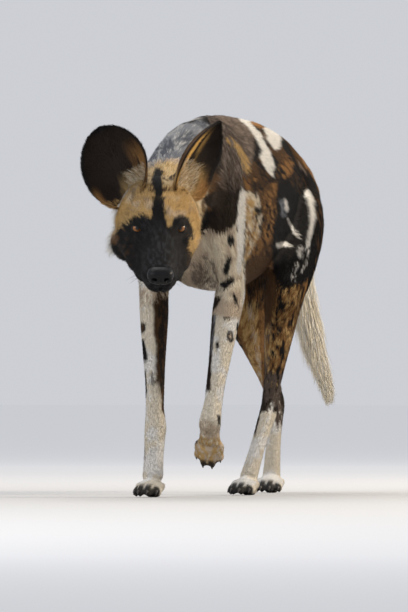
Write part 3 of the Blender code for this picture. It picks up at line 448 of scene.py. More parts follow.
def add_loft(bm, rings, matrix):
    """A closed form through rings that have the same number of points."""
    loops = [[bm.verts.new(matrix @ point) for point in ring] for ring in rings]
    for first, second in zip(loops, loops[1:]):
        for k in range(len(first)):
            follow = (k + 1) % len(first)
            bm.faces.new((first[k], first[follow], second[follow], second[k]))
    bm.faces.new(list(reversed(loops[0])))
    bm.faces.new(loops[-1])


def add_part(bm, part):
    """Joins a bmesh to another."""
    mesh = bpy.data.meshes.new("part")
    part.to_mesh(mesh)
    part.free()
    bm.from_mesh(mesh)
    bpy.data.meshes.remove(mesh)


def add_blob(bm, centre, radii, matrix, rotation=(0, 0, 0), segments=32):
    place = (matrix @ Matrix.Translation(centre) @ Euler(rotation).to_matrix().to_4x4()
             @ Matrix.Diagonal((*radii, 1)))
    ball = bmesh.new()
    bmesh.ops.create_uvsphere(ball, u_segments=segments, v_segments=segments // 2, radius=1,
                              matrix=place)
    add_part(bm, ball)


def object_from(bm, name):
    bmesh.ops.recalc_face_normals(bm, faces=bm.faces[:])
    mesh = bpy.data.meshes.new(name)
    bm.to_mesh(mesh)
    bm.free()
    obj = bpy.data.objects.new(name, mesh)
    bpy.context.scene.collection.objects.link(obj)
    return obj


def settle(obj):
    """Applies the object's modifiers."""
    graph = bpy.context.evaluated_depsgraph_get()
    mesh = bpy.data.meshes.new_from_object(obj.evaluated_get(graph))
    old = obj.data
    obj.modifiers.clear()
    obj.data = mesh
    bpy.data.meshes.remove(old)
    return obj


def remeshed(obj, voxel, rounds):
    """Fuses the object's shells into one skin and smooths it."""
    remesh = obj.modifiers.new("fuse", "REMESH")
    remesh.mode = "VOXEL"
    remesh.voxel_size = voxel
    smooth = obj.modifiers.new("smooth", "SMOOTH")
    smooth.factor = 0.5
    smooth.iterations = rounds
    return settle(obj)


def mirrored(point, side):
    return Vector((point[0] * side, point[1], point[2]))


def limb_point(name, place):
    joints = LIMBS[name]
    i = min(int(place), len(joints) - 2)
    return Vector(joints[i]).lerp(Vector(joints[i + 1]), place - i)


def paw_matrix(name):
    """From a paw's frame, with the toes along -Y and the floor below, to the dog's frame."""
    size = PAW_SIZE[name[:4]]
    turn = Euler([math.radians(angle) for angle in PAW_TURNS[name]]).to_matrix().to_4x4()
    root = Vector(LIMBS[name][4])
    if not PAW_TURNS[name][0]:
        root.z = -PAW_BOTTOM * size - SOLE_CUT
    return Matrix.Translation(root) @ turn @ Matrix.Scale(size, 4)


def add_paw(bm, name):
    """The foot: ankle, body, four toes with their pads, and the heel pad."""
    matrix = TO_ROW @ paw_matrix(name)
    rows = [[*limb_point(name, place), wide, deep] for place, wide, deep in ANKLES[name[:4]]]
    add_loft(bm, tube(rows), TO_ROW)
    add_blob(bm, (0, -0.008, -0.010), (0.0265, 0.030, 0.0175), matrix)
    add_blob(bm, (0, 0.002, PAW_BOTTOM + 0.010), (0.0190, 0.0165, 0.0120), matrix)
    for x, y in TOES:
        add_blob(bm, (x, y, -0.0120), (0.0088, 0.0200, 0.0120), matrix, (0.30, 0, -x * 9))
        add_blob(bm, (x * 1.06, y - 0.0125, -0.0215), (0.0084, 0.0120, 0.0115), matrix)


def add_solid(bm, node):
    """A copy of a CAD solid, swollen so that it meets its neighbours."""
    solid = bmesh.new()
    solid.from_mesh(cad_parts[node].data)
    bmesh.ops.remove_doubles(solid, verts=solid.verts[:], dist=1e-5)
    bmesh.ops.recalc_face_normals(solid, faces=solid.faces[:])
    solid.normal_update()
    for vert in solid.verts:
        vert.co += vert.normal * JOIN
    add_part(bm, solid)


def flesh_nodes():
    """The CAD nodes that the skin stands for."""
    apart = ("eye_", "ear_", "nose")
    return [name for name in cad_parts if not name.startswith(apart)]


def make_flesh():
    """The whole body in one skin, at the outer face of the coat."""
    bm = bmesh.new()
    for name in flesh_nodes():
        if name not in ("head", "tail") and not name.startswith("paw"):
            add_solid(bm, name)
    add_loft(bm, [section(*row) for row in between(SKULL, 4)], HEAD)
    for side in SIDES.values():
        for centre, radii in HEAD_FORMS:
            add_blob(bm, mirrored(centre, side), radii, HEAD)
    add_blob(bm, *RIGHT_CHEEK, HEAD)
    tail = [[*point, radius, radius] for point, radius in zip(TAIL_LINE, TAIL_RADII)]
    add_loft(bm, tube(between(tail, 4)), TO_ROW)
    for name in LIMBS:
        add_paw(bm, name)
    return remeshed(object_from(bm, "skin"), VOXEL, 6)


def refine_head(obj):
    """Splits the faces of the head's front twice as fine."""
    bm = bmesh.new()
    bm.from_mesh(obj.data)
    inverse = HEAD.inverted()
    near = set()
    for vert in bm.verts:
        local = inverse @ vert.co
        if local.y < 0.060 and abs(local.x) < 0.095 and abs(local.z) < 0.095:
            near.add(vert)
    edges = [edge for edge in bm.edges if edge.verts[0] in near and edge.verts[1] in near]
    bmesh.ops.subdivide_edges(bm, edges=edges, cuts=1, use_grid_fill=True, smooth=0.6)
    bmesh.ops.triangulate(bm, faces=[face for face in bm.faces if len(face.verts) > 4])
    bm.to_mesh(obj.data)
    bm.free()


def vertices_of(obj):
    """Places and normals of the object's vertices."""
    mesh = obj.data
    places = np.empty(len(mesh.vertices) * 3, np.float32)
    mesh.vertices.foreach_get("co", places)
    normals = np.empty(len(mesh.vertices) * 3, np.float32)
    mesh.vertex_normals.foreach_get("vector", normals)
    return places.reshape(-1, 3).astype(float), normals.reshape(-1, 3).astype(float)


def place_vertices(obj, places):
    obj.data.vertices.foreach_set("co", places.astype(np.float32).ravel())
    obj.data.update()


def chain(group, line, radii, coats):
    """Bones along a line: group, start, end, radius and coat. Hair lies from start to end."""
    rows = []
    for i in range(len(line) - 1):
        radius = radii[min(i, len(radii) - 1)]
        rows.append((group, Vector(line[i]), Vector(line[i + 1]), radius, coats[min(i, len(coats) - 1)]))
    return rows


def make_bones():
    head_line = [TO_ROW.inverted() @ HEAD @ Vector(p) for p in ((0, -0.100, -0.035), (0, 0.000, -0.020),
                                                             (0, 0.085, -0.004))]
    bones = chain("head", head_line, (0.036, 0.064), ("face",))
    bones += chain("neck", NECK_LINE, (0.064, 0.085), ("neck",))
    bones += chain("trunk", TRUNK_LINE, (0.110,), ("trunk",))
    for name, joints in LIMBS.items():
        bones += chain(name, joints, LIMB_RADII, ("upper", "upper", "lower", "lower"))
        toes = paw_matrix(name) @ Vector((0, -0.040, -0.014))
        bones += chain(name, (joints[4], toes), (0.020,), ("paw",))
    bones += chain("tail", TAIL_LINE[1::2], (0.013,), ("tail",))
    return bones


def bone_shares(points, sharpness=9):
    """How much each bone rules each point, as (points, bones) shares that add up to 1."""
    ratios = []
    for _, start, end, radius, _ in BONES:
        a, b = np.array(TO_ROW @ start), np.array(TO_ROW @ end)
        t = np.clip((points - a) @ (b - a) / ((b - a) @ (b - a)), 0, 1)
        away = np.linalg.norm(points - (a + t[:, None] * (b - a)), axis=1)
        ratios.append(away / radius)
    ratios = np.array(ratios).T
    shares = np.exp(-sharpness * (ratios - ratios.min(axis=1, keepdims=True)))
    return shares / shares.sum(axis=1, keepdims=True)


def coat_values(shares, points):
    """Depth, length, width and density of the coat at the points."""
    table = np.array([COATS[bone[4]] for bone in BONES])
    values = shares @ table
    local = moved(points, HEAD.inverted())
    groups = np.array([bone[0] for bone in BONES])
    head = shares[:, groups == "head"].sum(axis=1)
    cheek = head * smoothstep(0.010, 0.075, local[:, 1])
    neck = np.array(COATS["neck"])
    values += cheek[:, None] * 0.65 * (neck - values)
    eyes = np.linalg.norm(np.abs(local * (1, 0, 0)) + local * (0, 1, 1) - np.array(EYE_CENTRE), axis=1)
    values[:, 1] *= 1 - 0.5 * smoothstep(0.025, 0.015, eyes)
    muzzle = head * smoothstep(-0.030, -0.080, local[:, 1])
    values[:, 1] *= 1 - 0.40 * muzzle
    values[:, 2] *= 1 - 0.25 * muzzle
    return values


def lie_of(points, normals, shares):
    """The direction in which the hair lies at the points, along the skin."""
    ways = array_of([(bone[2] - bone[1]).normalized() for bone in BONES])
    groups = np.array([bone[0] for bone in BONES])
    flow = shares @ ways
    trunk = shares[:, (groups == "trunk") | (groups == "neck")].sum(axis=1)
    flow[:, 2] -= trunk * (0.25 + 0.55 * np.abs(normals[:, 0]))
    head = shares[:, groups == "head"].sum(axis=1)
    local = moved(points, HEAD.inverted())
    sideways = np.sign(local[:, 0]) * smoothstep(0.004, 0.045, np.abs(local[:, 0]))
    fan = np.stack([0.55 * sideways, np.full(len(points), 0.9),
                    0.30 - 1.0 * smoothstep(0.01, -0.05, local[:, 2])], axis=1)
    flow = flow * (1 - head[:, None]) + turned(fan, HEAD) * head[:, None]
    flow -= normals * (flow * normals).sum(axis=1, keepdims=True)
    return unit(flow)


def camera_axes():
    """The camera's place and its axes to the right, up and ahead, in the row frame."""
    right = Vector((math.cos(AZIMUTH), math.sin(AZIMUTH), 0))
    ahead = Vector((-math.sin(AZIMUTH), math.cos(AZIMUTH), 0))
    depth = Vector((*AIM_POINT, 0)).dot(ahead) - DISTANCE
    place = right * -CAMERA_STEP + ahead * depth + Vector((0, 0, CAMERA_HEIGHT))
    pitch = math.atan((AIM_HEIGHT - CAMERA_HEIGHT) / DISTANCE)
    look = (ahead + Vector((0, 0, math.tan(pitch)))).normalized()
    return TO_ROW @ place, right, right.cross(look), look


def photo_pixels(points):
    """Where the photograph shows the points."""
    place, right, up, look = (np.array(axis) for axis in camera_axes())
    away = points - place
    scale = FOCAL / (away @ look)
    return PHOTO[0] / 2 + (away @ right) * scale, PHOTO[1] / 2 - (away @ up) * scale


def edge_distance(x, y, corners, closed):
    """Pixels from a line of corners, or from an area's edge, where they are negative inside."""
    away = np.full(len(x), 99.0)
    inside = np.zeros(len(x), bool)
    for (ax, ay), (bx, by) in zip(corners, corners[1:] + corners[:1]):
        if not closed and (bx, by) == corners[0]:
            break
        dx, dy = bx - ax, by - ay
        t = np.clip(((x - ax) * dx + (y - ay) * dy) / max(dx * dx + dy * dy, 1e-6), 0, 1)
        away = np.minimum(away, np.hypot(x - ax - t * dx, y - ay - t * dy))
        if dy:
            inside ^= ((ay > y) != (by > y)) & (x < ax + dx * (y - ay) / dy)
    return np.where(inside, -away, away) if closed else away


def paint_marks(points, normals, colours, marks, grain=0.0068):
    """Lays the marks over the colours of the seen side, with edges broken as hair breaks them."""
    x, y = photo_pixels(points)
    seen = smoothstep(-0.24, -0.06, -normals @ np.array(camera_axes()[3]))
    warp = 3.2 * (rough_noise(points, 0.016, 31) - 0.5)
    fine = 2.4 * (noise(points * np.array((1.0, 1.0, 0.5)), 0.0024, 47) - 0.5)
    lumps = rough_noise(points * np.array((1.0, 0.7, 0.50)), grain, 57)
    for number, (colour, width, broken, corners) in enumerate(marks):
        spread = max(width, 0) + 5
        low = np.min(corners, axis=0) - spread
        high = np.max(corners, axis=0) + spread
        near = (x > low[0]) & (x < high[0]) & (y > low[1]) & (y < high[1]) & (seen > 0)
        if not near.any():
            continue
        edge = edge_distance(x[near], y[near], corners, not width) - width
        edge += warp[near] * (1.0 if width > 3 or not width else 0.35) + fine[near] * 0.6
        share = smoothstep(0.7, -0.7, edge) * seen[near]
        if broken:
            lump = (lumps[near] + 0.137 * number) % 0.55 / 0.55
            share *= smoothstep(broken - 0.06, broken + 0.06, 0.5 + 0.5 * np.sin(math.tau * lump))
        colours[near] += share[:, None] * (np.array(colour) - colours[near])
    return colours


def patched(points, colours, colour, size, seed, level, where=1.0):
    """Lays patches of a colour where noise passes a level, in the given share."""
    value = rough_noise(points, size, seed) + 0.10 * (noise(points, size * 0.12, seed + 7) - 0.5)
    share = smoothstep(level, level + 0.035, value) * where
    colours += share[:, None] * (np.array(colour) - colours)
    return colours


def trunk_colours(points):
    """Mottled back and flanks, dark below."""
    dog = moved(points, TO_ROW.inverted())
    stretched = dog * np.array((1.0, 0.8, 1.0))
    colours = np.tile(np.array(UMBER), (len(points), 1))
    patched(stretched, colours, BROWN, 0.050, 3, 0.50)
    patched(stretched, colours, ORANGE, 0.060, 11, 0.585, 0.9)
    patched(stretched, colours, BLACK, 0.055, 19, 0.53)
    patched(stretched, colours, WHITE, 0.070, 23, 0.625, smoothstep(0.01, -0.01, dog[:, 0]))
    low = smoothstep(0.02, -0.05, dog[:, 2] - (0.43 + 0.10 * np.clip(dog[:, 1], 0, 0.4)))
    colours += low[:, None] * 0.8 * (np.array(UMBER) * 1.6 - colours)
    return colours


def neck_colours(points):
    """Tan ruff at the sides, slate and white on the nape, where the slate is painted shade on grey-white
    hair, beige in front of the chest.
    """
    dog = moved(points, TO_ROW.inverted())
    colours = np.tile(np.array(TAN), (len(points), 1))
    patched(dog, colours, CREAM, 0.030, 41, 0.56, 0.7)
    patched(dog, colours, BROWN, 0.035, 43, 0.58, 0.8)
    # painted shade: the nape's grey-white hair is painted blue-grey slate, with white and dark steel
    # patches
    nape = smoothstep(0.560, 0.600, dog[:, 2])
    grey = np.tile(np.array(SLATE), (len(points), 1))
    patched(dog, grey, WHITE, 0.030, 45, 0.56)
    patched(dog, grey, STEEL, 0.035, 49, 0.55)
    colours += nape[:, None] * (grey - colours)
    chest = smoothstep(0.50, 0.46, dog[:, 2])
    colours += chest[:, None] * (np.array(BEIGE) - colours)
    return colours


def face_place(local):
    """Where the photograph shows a point of the head: pixels from its middle line, and down."""
    return (HEAD_SCALE * np.abs(local[:, 0]),
            230 - HEAD_SCALE * (0.848 * local[:, 2] + 0.53 * local[:, 1]))


def face_colours(points):
    """Tan forehead and cheeks, black mask and muzzle, and the dark line up the forehead."""
    local = moved(points, HEAD.inverted())
    across = local[:, 0] * HEAD_SCALE
    out, down = face_place(local)
    wave = rough_noise(points, 0.010, 61) - 0.5
    fine = noise(points, 0.0020, 63) - 0.5
    colours = np.tile(np.array(TAN), (len(points), 1))
    patched(local, colours, BEIGE, 0.020, 65, 0.52, 0.6)
    patched(local, colours, BROWN, 0.0042, 67, 0.60, 0.45)
    cheek = smoothstep(0.012, 0.045, local[:, 1]) * smoothstep(24, 34, out)
    colours += (cheek * 0.60)[:, None] * (np.array(GOLD) - colours)
    fringe = smoothstep(0.050, 0.075, local[:, 1]) * smoothstep(-26, -34, across)
    colours += (fringe * 0.9)[:, None] * (np.array(WHITE) - colours)
    crown = smoothstep(0.070, 0.095, local[:, 1]) * smoothstep(28, 18, out)
    colours += (crown * 0.8)[:, None] * (np.array(SAND) - colours)
    top = np.interp(across, MASK_EDGE[0], MASK_EDGE[1])
    mask = (down - top) / 4 + wave * 1.6 + fine * 1.1
    limit = np.where(across < 0, 0.030 + 0.034 * smoothstep(230, 240, down), 0.024)
    reach = (limit - local[:, 1]) / 0.006 + wave * 2.0 + fine
    jaw = (down - 256) / 8 + (0.062 - local[:, 1]) / 0.04 + wave
    dark = np.maximum(np.minimum(mask, reach), np.minimum(jaw, mask))
    share = smoothstep(-0.35, 0.45, dark)
    colours += share[:, None] * (np.array(BLACK) - colours)
    # painted sheen: blue-grey streaks over the black mask, strongest down the middle of the muzzle
    streak = rough_noise(local * np.array((1.0, 0.35, 1.0)), 0.0030, 69)
    grey = smoothstep(0.44, 0.66, streak) * share * (0.03 + 0.07 * smoothstep(26, 4, out))
    colours += grey[:, None] * (np.array(SLATE) - colours)
    fleck = smoothstep(0.56, 0.64, rough_noise(local, 0.0060, 75)) * share * smoothstep(20, 34, out)
    colours += (fleck * 0.5)[:, None] * (np.array(BROWN) - colours)
    spot = smoothstep(1.25, 0.75, np.hypot((across + 43) / 5.5, (down - 239) / 4.5) + wave * 1.5)
    colours += (spot * 0.75)[:, None] * (np.array(BROWN) * 1.8 - colours)
    # painted rim light: a lighter tan patch on the left side of the muzzle
    side = np.hypot((across - 34) / 4, (down - 250) / 9) + wave * 1.8 + fine * 1.5
    colours += (smoothstep(1.25, 0.75, side) * 0.7)[:, None] * (np.array(TAN) - colours)
    line = smoothstep(1.25, 0.85, np.abs(across + 0.8) / np.interp(down, (165, 180, 215), (3.6, 5.0, 6.0))
                      + wave * 1.0 + fine * 0.7)
    line *= smoothstep(0.108, 0.096, local[:, 1]) * (local[:, 2] > 0) * smoothstep(230, 220, down)
    colours += line[:, None] * (np.array(BLACK) - colours)
    return colours


def limb_colours(points, normals, name):
    """Cream with dark spots on a foreleg, dark above and pale below on a hind leg."""
    dog = moved(points, TO_ROW.inverted())
    inner = (dog[:, 0] - np.interp(dog[:, 2], (0.03, 0.4), (LIMBS[name][4][0], LIMBS[name][2][0])))
    inner *= -1 if name.endswith("left") else 1
    colours = np.tile(np.array(WHITE), (len(points), 1))
    if name.startswith("fore"):
        patched(dog, colours, CREAM, 0.030, 71, 0.42, 0.8)
        patched(dog, colours, BLACK, 0.022, 73, 0.66, smoothstep(0.14, 0.25, dog[:, 2]))
        stripe = smoothstep(0.006, 0.012, inner + 0.010 * (rough_noise(dog, 0.02, 77) - 0.5))
        stripe *= smoothstep(0.17, 0.22, dog[:, 2]) * smoothstep(0.42, 0.36, dog[:, 2])
        colours += stripe[:, None] * (np.array(BROWN) * 0.6 - colours)
        high = smoothstep(0.50, 0.52, dog[:, 2] + 0.06 * (rough_noise(dog, 0.05, 79) - 0.5))
        colours += high[:, None] * (trunk_colours(points) - colours)
    else:
        patched(dog, colours, CREAM, 0.030, 81, 0.45, 0.8)
        high = smoothstep(0.185, 0.215, dog[:, 2] + 0.06 * (rough_noise(dog, 0.030, 83) - 0.5))
        upper = np.tile(np.array(UMBER), (len(points), 1))
        patched(dog, upper, ORANGE, 0.035, 85, 0.57)
        patched(dog, upper, BLACK, 0.030, 87, 0.52)
        patched(dog, upper, WHITE, 0.050, 89, 0.66)
        colours += high[:, None] * (upper - colours)
        within = smoothstep(0.000, 0.016, inner) * smoothstep(0.20, 0.30, dog[:, 2])
        colours += (within * 0.85)[:, None] * (np.array(BROWN) - colours)
    return paint_marks(points, normals, colours, LEG_MARKS[name], grain=0.0050)


def paw_colours(points, normals, name, colours):
    """Black toes and pads on a pale foot."""
    local = moved(points, (TO_ROW @ paw_matrix(name)).inverted())
    normal = turned(normals, paw_matrix(name).inverted())
    sole = smoothstep(-0.55, -0.80, unit(normal)[:, 2]) * smoothstep(-0.020, -0.026, local[:, 2])
    colours += sole[:, None] * (np.array(BLACK) - colours)
    toes = smoothstep(-0.030, -0.036, local[:, 1] + 0.010 * (rough_noise(points, 0.009, 93) - 0.5))
    gaps = np.min([np.abs(local[:, 0] - middle) for middle in (-0.0162, 0.0, 0.0162)], axis=0)
    toes *= 1 - 0.85 * smoothstep(0.0030, 0.0012, gaps) * smoothstep(-0.016, -0.010, local[:, 2])
    if PAW_TURNS[name][0]:
        toes *= smoothstep(-0.036, -0.043, local[:, 1] + 0.006 * (rough_noise(points, 0.009, 95) - 0.5))
    else:
        toes *= smoothstep(0.000, -0.010, local[:, 2])
    colours += (toes * 0.95)[:, None] * (np.array(BLACK) - colours)
    return colours


def coat_colours(points, normals):
    """The colour of the coat at the points: markings by the parts of the body."""
    stray = np.stack([rough_noise(points, 0.020, seed) - 0.5 for seed in (201, 211, 221)], axis=1)
    shares = bone_shares(points + 0.030 * stray, 70)
    groups = np.array([bone[0] for bone in BONES])
    coats = np.array([bone[4] for bone in BONES])
    makers = {"head": face_colours, "neck": neck_colours, "trunk": trunk_colours,
              "tail": lambda places: np.tile(np.array(CREAM), (len(places), 1))}
    colours = np.zeros((len(points), 3))
    body = np.zeros(len(points))
    crown = np.zeros(len(points))
    for group in sorted(set(groups)):
        share = shares[:, groups == group].sum(axis=1)
        near = share > 0.003
        if group in LIMBS:
            made = limb_colours(points[near], normals[near], group)
        else:
            made = makers[group](points[near])
        colours[near] += share[near, None] * made
        body[near] += share[near] * (group in ("neck", "trunk", "fore_left", "hind_left"))
        crown[near] += share[near] * (group in ("neck", "head"))
    front = smoothstep(-0.17, -0.22, moved(points, TO_ROW.inverted())[:, 1])
    for where, marks in ((body * front, NECK_MARKS), (body, BODY_MARKS), (crown, HEAD_MARKS)):
        painted = paint_marks(points, normals, colours.copy(), marks)
        colours += where[:, None] * (painted - colours)
    for name in LIMBS:
        share = shares[:, (groups == name) & (coats == "paw")].sum(axis=1)
        near = share > 0.2
        colours[near] = paw_colours(points[near], normals[near], name, colours[near])
    return colours


def strip_mesh(name, corners, faces, colours, bake=None):
    """A mesh object from arrays, with the coat's colours and, for tufts, its unwrap."""
    mesh = bpy.data.meshes.new(name)
    mesh.vertices.add(len(corners))
    mesh.vertices.foreach_set("co", corners.astype(np.float32).ravel())
    mesh.loops.add(faces.size)
    mesh.loops.foreach_set("vertex_index", faces.astype(np.int32).ravel())
    mesh.polygons.add(len(faces))
    mesh.polygons.foreach_set("loop_start", np.arange(0, faces.size, faces.shape[1], dtype=np.int32))
    mesh.polygons.foreach_set("use_smooth", np.ones(len(faces), bool))
    mesh.update()
    write_colours(mesh, colours)
    if bake is not None:
        layer = mesh.uv_layers.new(name="OFBake")
        layer.data.foreach_set("uv", bake[faces.ravel()].astype(np.float32).ravel())
    obj = bpy.data.objects.new(name, mesh)
    bpy.context.scene.collection.objects.link(obj)
    return obj


def write_colours(mesh, colours):
    attribute = mesh.color_attributes.new("coat", "FLOAT_COLOR", "POINT")
    values = np.ones((len(mesh.vertices), 4), np.float32)
    values[:, :3] = colours
    attribute.data.foreach_set("color", values.ravel())


def stacked(parts):
    """Rows of each tuft's corners, one tuft after the other."""
    return np.stack(parts, axis=1).reshape(-1, parts[0].shape[1])


def tufts(name, roots, out, lie, sizes, colours, spots, bend, rings=2):
    """Tapered three-sided tufts as one mesh. sizes: length, width, lift and sink of each."""
    length, width, lift, sink = (sizes[:, i:i + 1] for i in range(4))
    across = unit(np.cross(out, lie))
    corners, bake, painted_shade_colours = [], [], []
    for k in range(rings):
        t = k / rings
        centre = (roots + lie * length * t - out * sink * (1 - t)
                  + out * length * lift * (t - 0.45 * t * t) + bend * length * t * t)
        taper = 1 - 0.62 * t ** 1.5
        ring = [centre + across * width / 2 * taper, centre + out * width * 0.28 * taper,
                centre - across * width / 2 * taper]
        for j, corner in enumerate(ring):
            corners.append(corner)
            bake.append(spots + np.array(((j - 1) * 0.0015, 0.003 * t)))
            # painted shade: each ring is darker towards the tuft's root, down to 0.80 of its colour, and
            # the tip below is painted 1.08 times lighter
            painted_shade_colours.append(colours * (0.80 + 0.25 * t))
    corners.append(roots + lie * length + out * length * lift * 0.55 + bend * length)
    bake.append(spots + np.array((0, 0.003)))
    painted_shade_colours.append(colours * 1.08)
    count, stride = len(roots), 3 * rings + 1
    faces = []
    for k in range(rings - 1):
        for j in range(3):
            a, b = 3 * k + j, 3 * k + (j + 1) % 3
            faces += [(a, b, b + 3), (a, b + 3, a + 3)]
    last = 3 * (rings - 1)
    faces += [(last + j, last + (j + 1) % 3, last + 3) for j in range(3)]
    index = np.arange(count)[:, None, None] * stride + np.array(faces)[None]
    places = stacked(corners)
    places[:, 2] = np.maximum(places[:, 2], FLOOR_GAP)
    return strip_mesh(name, places, index.reshape(-1, 3), stacked(painted_shade_colours), stacked(bake))


def triangles_of(obj):
    mesh = obj.data
    mesh.calc_loop_triangles()
    corners = np.empty(len(mesh.loop_triangles) * 3, np.int32)
    mesh.loop_triangles.foreach_get("vertices", corners)
    return corners.reshape(-1, 3)


def scatter(places, normals, corners, density, draw):
    """Roots spread over the triangles by density, with their normals."""
    a, b, c = (places[corners[:, i]] for i in range(3))
    area = np.linalg.norm(np.cross(b - a, c - a), axis=1) / 2
    total = np.cumsum(area * density[corners].mean(axis=1))
    count = int(total[-1])
    marks = (np.arange(count) + draw.uniform(0.05, 0.95, count)) * total[-1] / count
    face = np.searchsorted(total, marks).clip(0, len(corners) - 1)
    side, up = np.sqrt(draw.random(len(face))), draw.random(len(face))
    mix = np.stack([1 - side, side * (1 - up), side * up], axis=1)[:, :, None]
    roots = (places[corners[face]] * mix).sum(axis=1)
    return roots, unit((normals[corners[face]] * mix).sum(axis=1))


def cylinder_spots(points, group):
    """Each root's place on an unwrap of its part of the body, round the part's own axis."""
    bones = [bone for bone in BONES if bone[0] == group]
    start, end = (np.array(TO_ROW @ p) for p in (bones[0][1], bones[-1][2]))
    along = (end - start) / np.linalg.norm(end - start)
    first = np.cross(along, (0.36, 0.48, 0.80))
    first /= np.linalg.norm(first)
    second = np.cross(along, first)
    offset = points - start
    level = offset @ along
    angle = np.arctan2(offset @ second, offset @ first) / math.tau + 0.5
    low, high = level.min(), level.max()
    return np.stack([0.01 + 0.98 * angle, 0.01 + 0.98 * (level - low) / (high - low)], axis=1)


def new_material(name, roughness, specular):
    """A material with its shader, its nodes and their links."""
    material = bpy.data.materials.new(name)
    material.use_nodes = True
    nodes, links = material.node_tree.nodes, material.node_tree.links
    shader = nodes["Principled BSDF"]
    shader.inputs["Roughness"].default_value = roughness
    shader.inputs["Specular IOR Level"].default_value = specular
    return material, shader, nodes, links


def coat_material():
    """Hair in the colours of the markings, for the skin and the tufts."""
    material, shader, nodes, links = new_material("coat", 0.72, 0.14)
    attribute = nodes.new("ShaderNodeAttribute")
    attribute.attribute_name = "coat"
    texture = nodes.new("ShaderNodeTexNoise")
    texture.inputs["Scale"].default_value = 420
    texture.inputs["Detail"].default_value = 3
    coordinates = nodes.new("ShaderNodeTexCoord")
    links.new(coordinates.outputs["Object"], texture.inputs["Vector"])
    ramp = nodes.new("ShaderNodeMapRange")
    ramp.inputs["To Min"].default_value = 0.70
    ramp.inputs["To Max"].default_value = 1.25
    links.new(texture.outputs["Fac"], ramp.inputs["Value"])
    mix = nodes.new("ShaderNodeMix")
    mix.data_type = "RGBA"
    mix.blend_type = "MULTIPLY"
    mix.inputs["Factor"].default_value = 1
    links.new(attribute.outputs["Color"], mix.inputs[6])
    links.new(ramp.outputs["Result"], mix.inputs[7])
    links.new(mix.outputs[2], shader.inputs["Base Color"])
    bump = nodes.new("ShaderNodeBump")
    bump.inputs["Strength"].default_value = 0.5
    bump.inputs["Distance"].default_value = 0.0006
    links.new(texture.outputs["Fac"], bump.inputs["Height"])
    links.new(bump.outputs["Normal"], shader.inputs["Normal"])
    return material


def plain_material(name, colour, roughness, bump_scale, bump_depth, specular=0.3, vary=0.25):
    """A solid colour that varies a little, over a fine bump."""
    material, shader, nodes, links = new_material(name, roughness, specular)
    coordinates = nodes.new("ShaderNodeTexCoord")
    texture = nodes.new("ShaderNodeTexNoise")
    texture.inputs["Scale"].default_value = bump_scale * 0.4
    links.new(coordinates.outputs["Object"], texture.inputs["Vector"])
    ramp = nodes.new("ShaderNodeValToRGB")
    ramp.color_ramp.elements[0].position = 0.3
    ramp.color_ramp.elements[1].position = 0.7
    ramp.color_ramp.elements[0].color = (*[c * (1 - vary) for c in colour], 1)
    ramp.color_ramp.elements[1].color = (*[min(c * (1 + vary), 1) for c in colour], 1)
    links.new(texture.outputs["Fac"], ramp.inputs["Fac"])
    links.new(ramp.outputs["Color"], shader.inputs["Base Color"])
    cells = nodes.new("ShaderNodeTexVoronoi")
    cells.inputs["Scale"].default_value = bump_scale
    links.new(coordinates.outputs["Object"], cells.inputs["Vector"])
    bump = nodes.new("ShaderNodeBump")
    bump.inputs["Strength"].default_value = 0.6
    bump.inputs["Distance"].default_value = bump_depth
    links.new(cells.outputs["Distance"], bump.inputs["Height"])
    links.new(bump.outputs["Normal"], shader.inputs["Normal"])
    return material


def dress(obj, material, slot, *nodes):
    """Gives the piece its material, and says what it rides on and stands for. The slot is not used."""
    obj.data.materials.clear()
    obj.data.materials.append(material)
    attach(obj, "root")
    if nodes:
        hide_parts(*nodes)
    return obj


def eye_frame(side):
    """An eye's place: its opening faces -Y."""
    return (HEAD @ Matrix.Translation(mirrored(EYE_CENTRE, side))
            @ Matrix.Rotation(side * EYE_OUTWARD, 4, "Z") @ Matrix.Rotation(EYE_PITCH, 4, "X")
            @ Matrix.Rotation(-side * EYE_SLANT, 4, "Y"))


def sculpt_head(places, normals):
    """Folds, brows, lips and the line of the mouth, pressed into the head's skin."""
    local = moved(places, HEAD.inverted())
    x, y, z = np.abs(local[:, 0]), local[:, 1], local[:, 2]
    press = np.zeros(len(places))
    line = np.interp(y, [p[0] for p in MOUTH], [p[1] for p in MOUTH])
    reach = smoothstep(-0.010, -0.020, y)
    press += 0.0028 * np.exp(-((z - line) / 0.0016) ** 2) * reach
    press -= 0.0016 * np.exp(-((z - line + 0.0050) / 0.0030) ** 2) * reach
    press -= 0.0014 * np.exp(-((z - line - 0.0048) / 0.0030) ** 2) * reach
    press += (0.0022 * np.exp(-(x / 0.0030) ** 2) * smoothstep(-0.085, -0.104, y)
              * smoothstep(-0.040, -0.046, z))
    brow = np.exp(-(((x - 0.032) / 0.017) ** 2 + ((y - 0.002) / 0.012) ** 2 + ((z - 0.016) / 0.006) ** 2))
    press -= 0.0034 * brow
    stop = np.exp(-((x / 0.011) ** 2 + ((y + 0.002) / 0.022) ** 2 + ((z - 0.032) / 0.020) ** 2))
    press += 0.0020 * stop
    below = np.exp(-(((x - 0.034) / 0.014) ** 2 + ((y + 0.014) / 0.010) ** 2 + ((z + 0.017) / 0.006) ** 2))
    press += 0.0016 * below
    return places - normals * press[:, None]


def open_eyes(obj):
    """Takes away the skin in front of the eyeballs."""
    bm = bmesh.new()
    bm.from_mesh(obj.data)
    gone = []
    for side in SIDES.values():
        inverse = eye_frame(side).inverted()
        for vert in bm.verts:
            local = inverse @ vert.co
            if local.length < 0.020 and local.y < 0:
                wide, high = EYE_OPENING[0] + 0.0011, EYE_OPENING[1 if local.z > 0 else 2] + 0.0011
                if (local.x / wide) ** 2 + (local.z / high) ** 2 < 1:
                    gone.append(vert)
    bmesh.ops.delete(bm, geom=list(set(gone)), context="VERTS")
    bm.to_mesh(obj.data)
    bm.free()


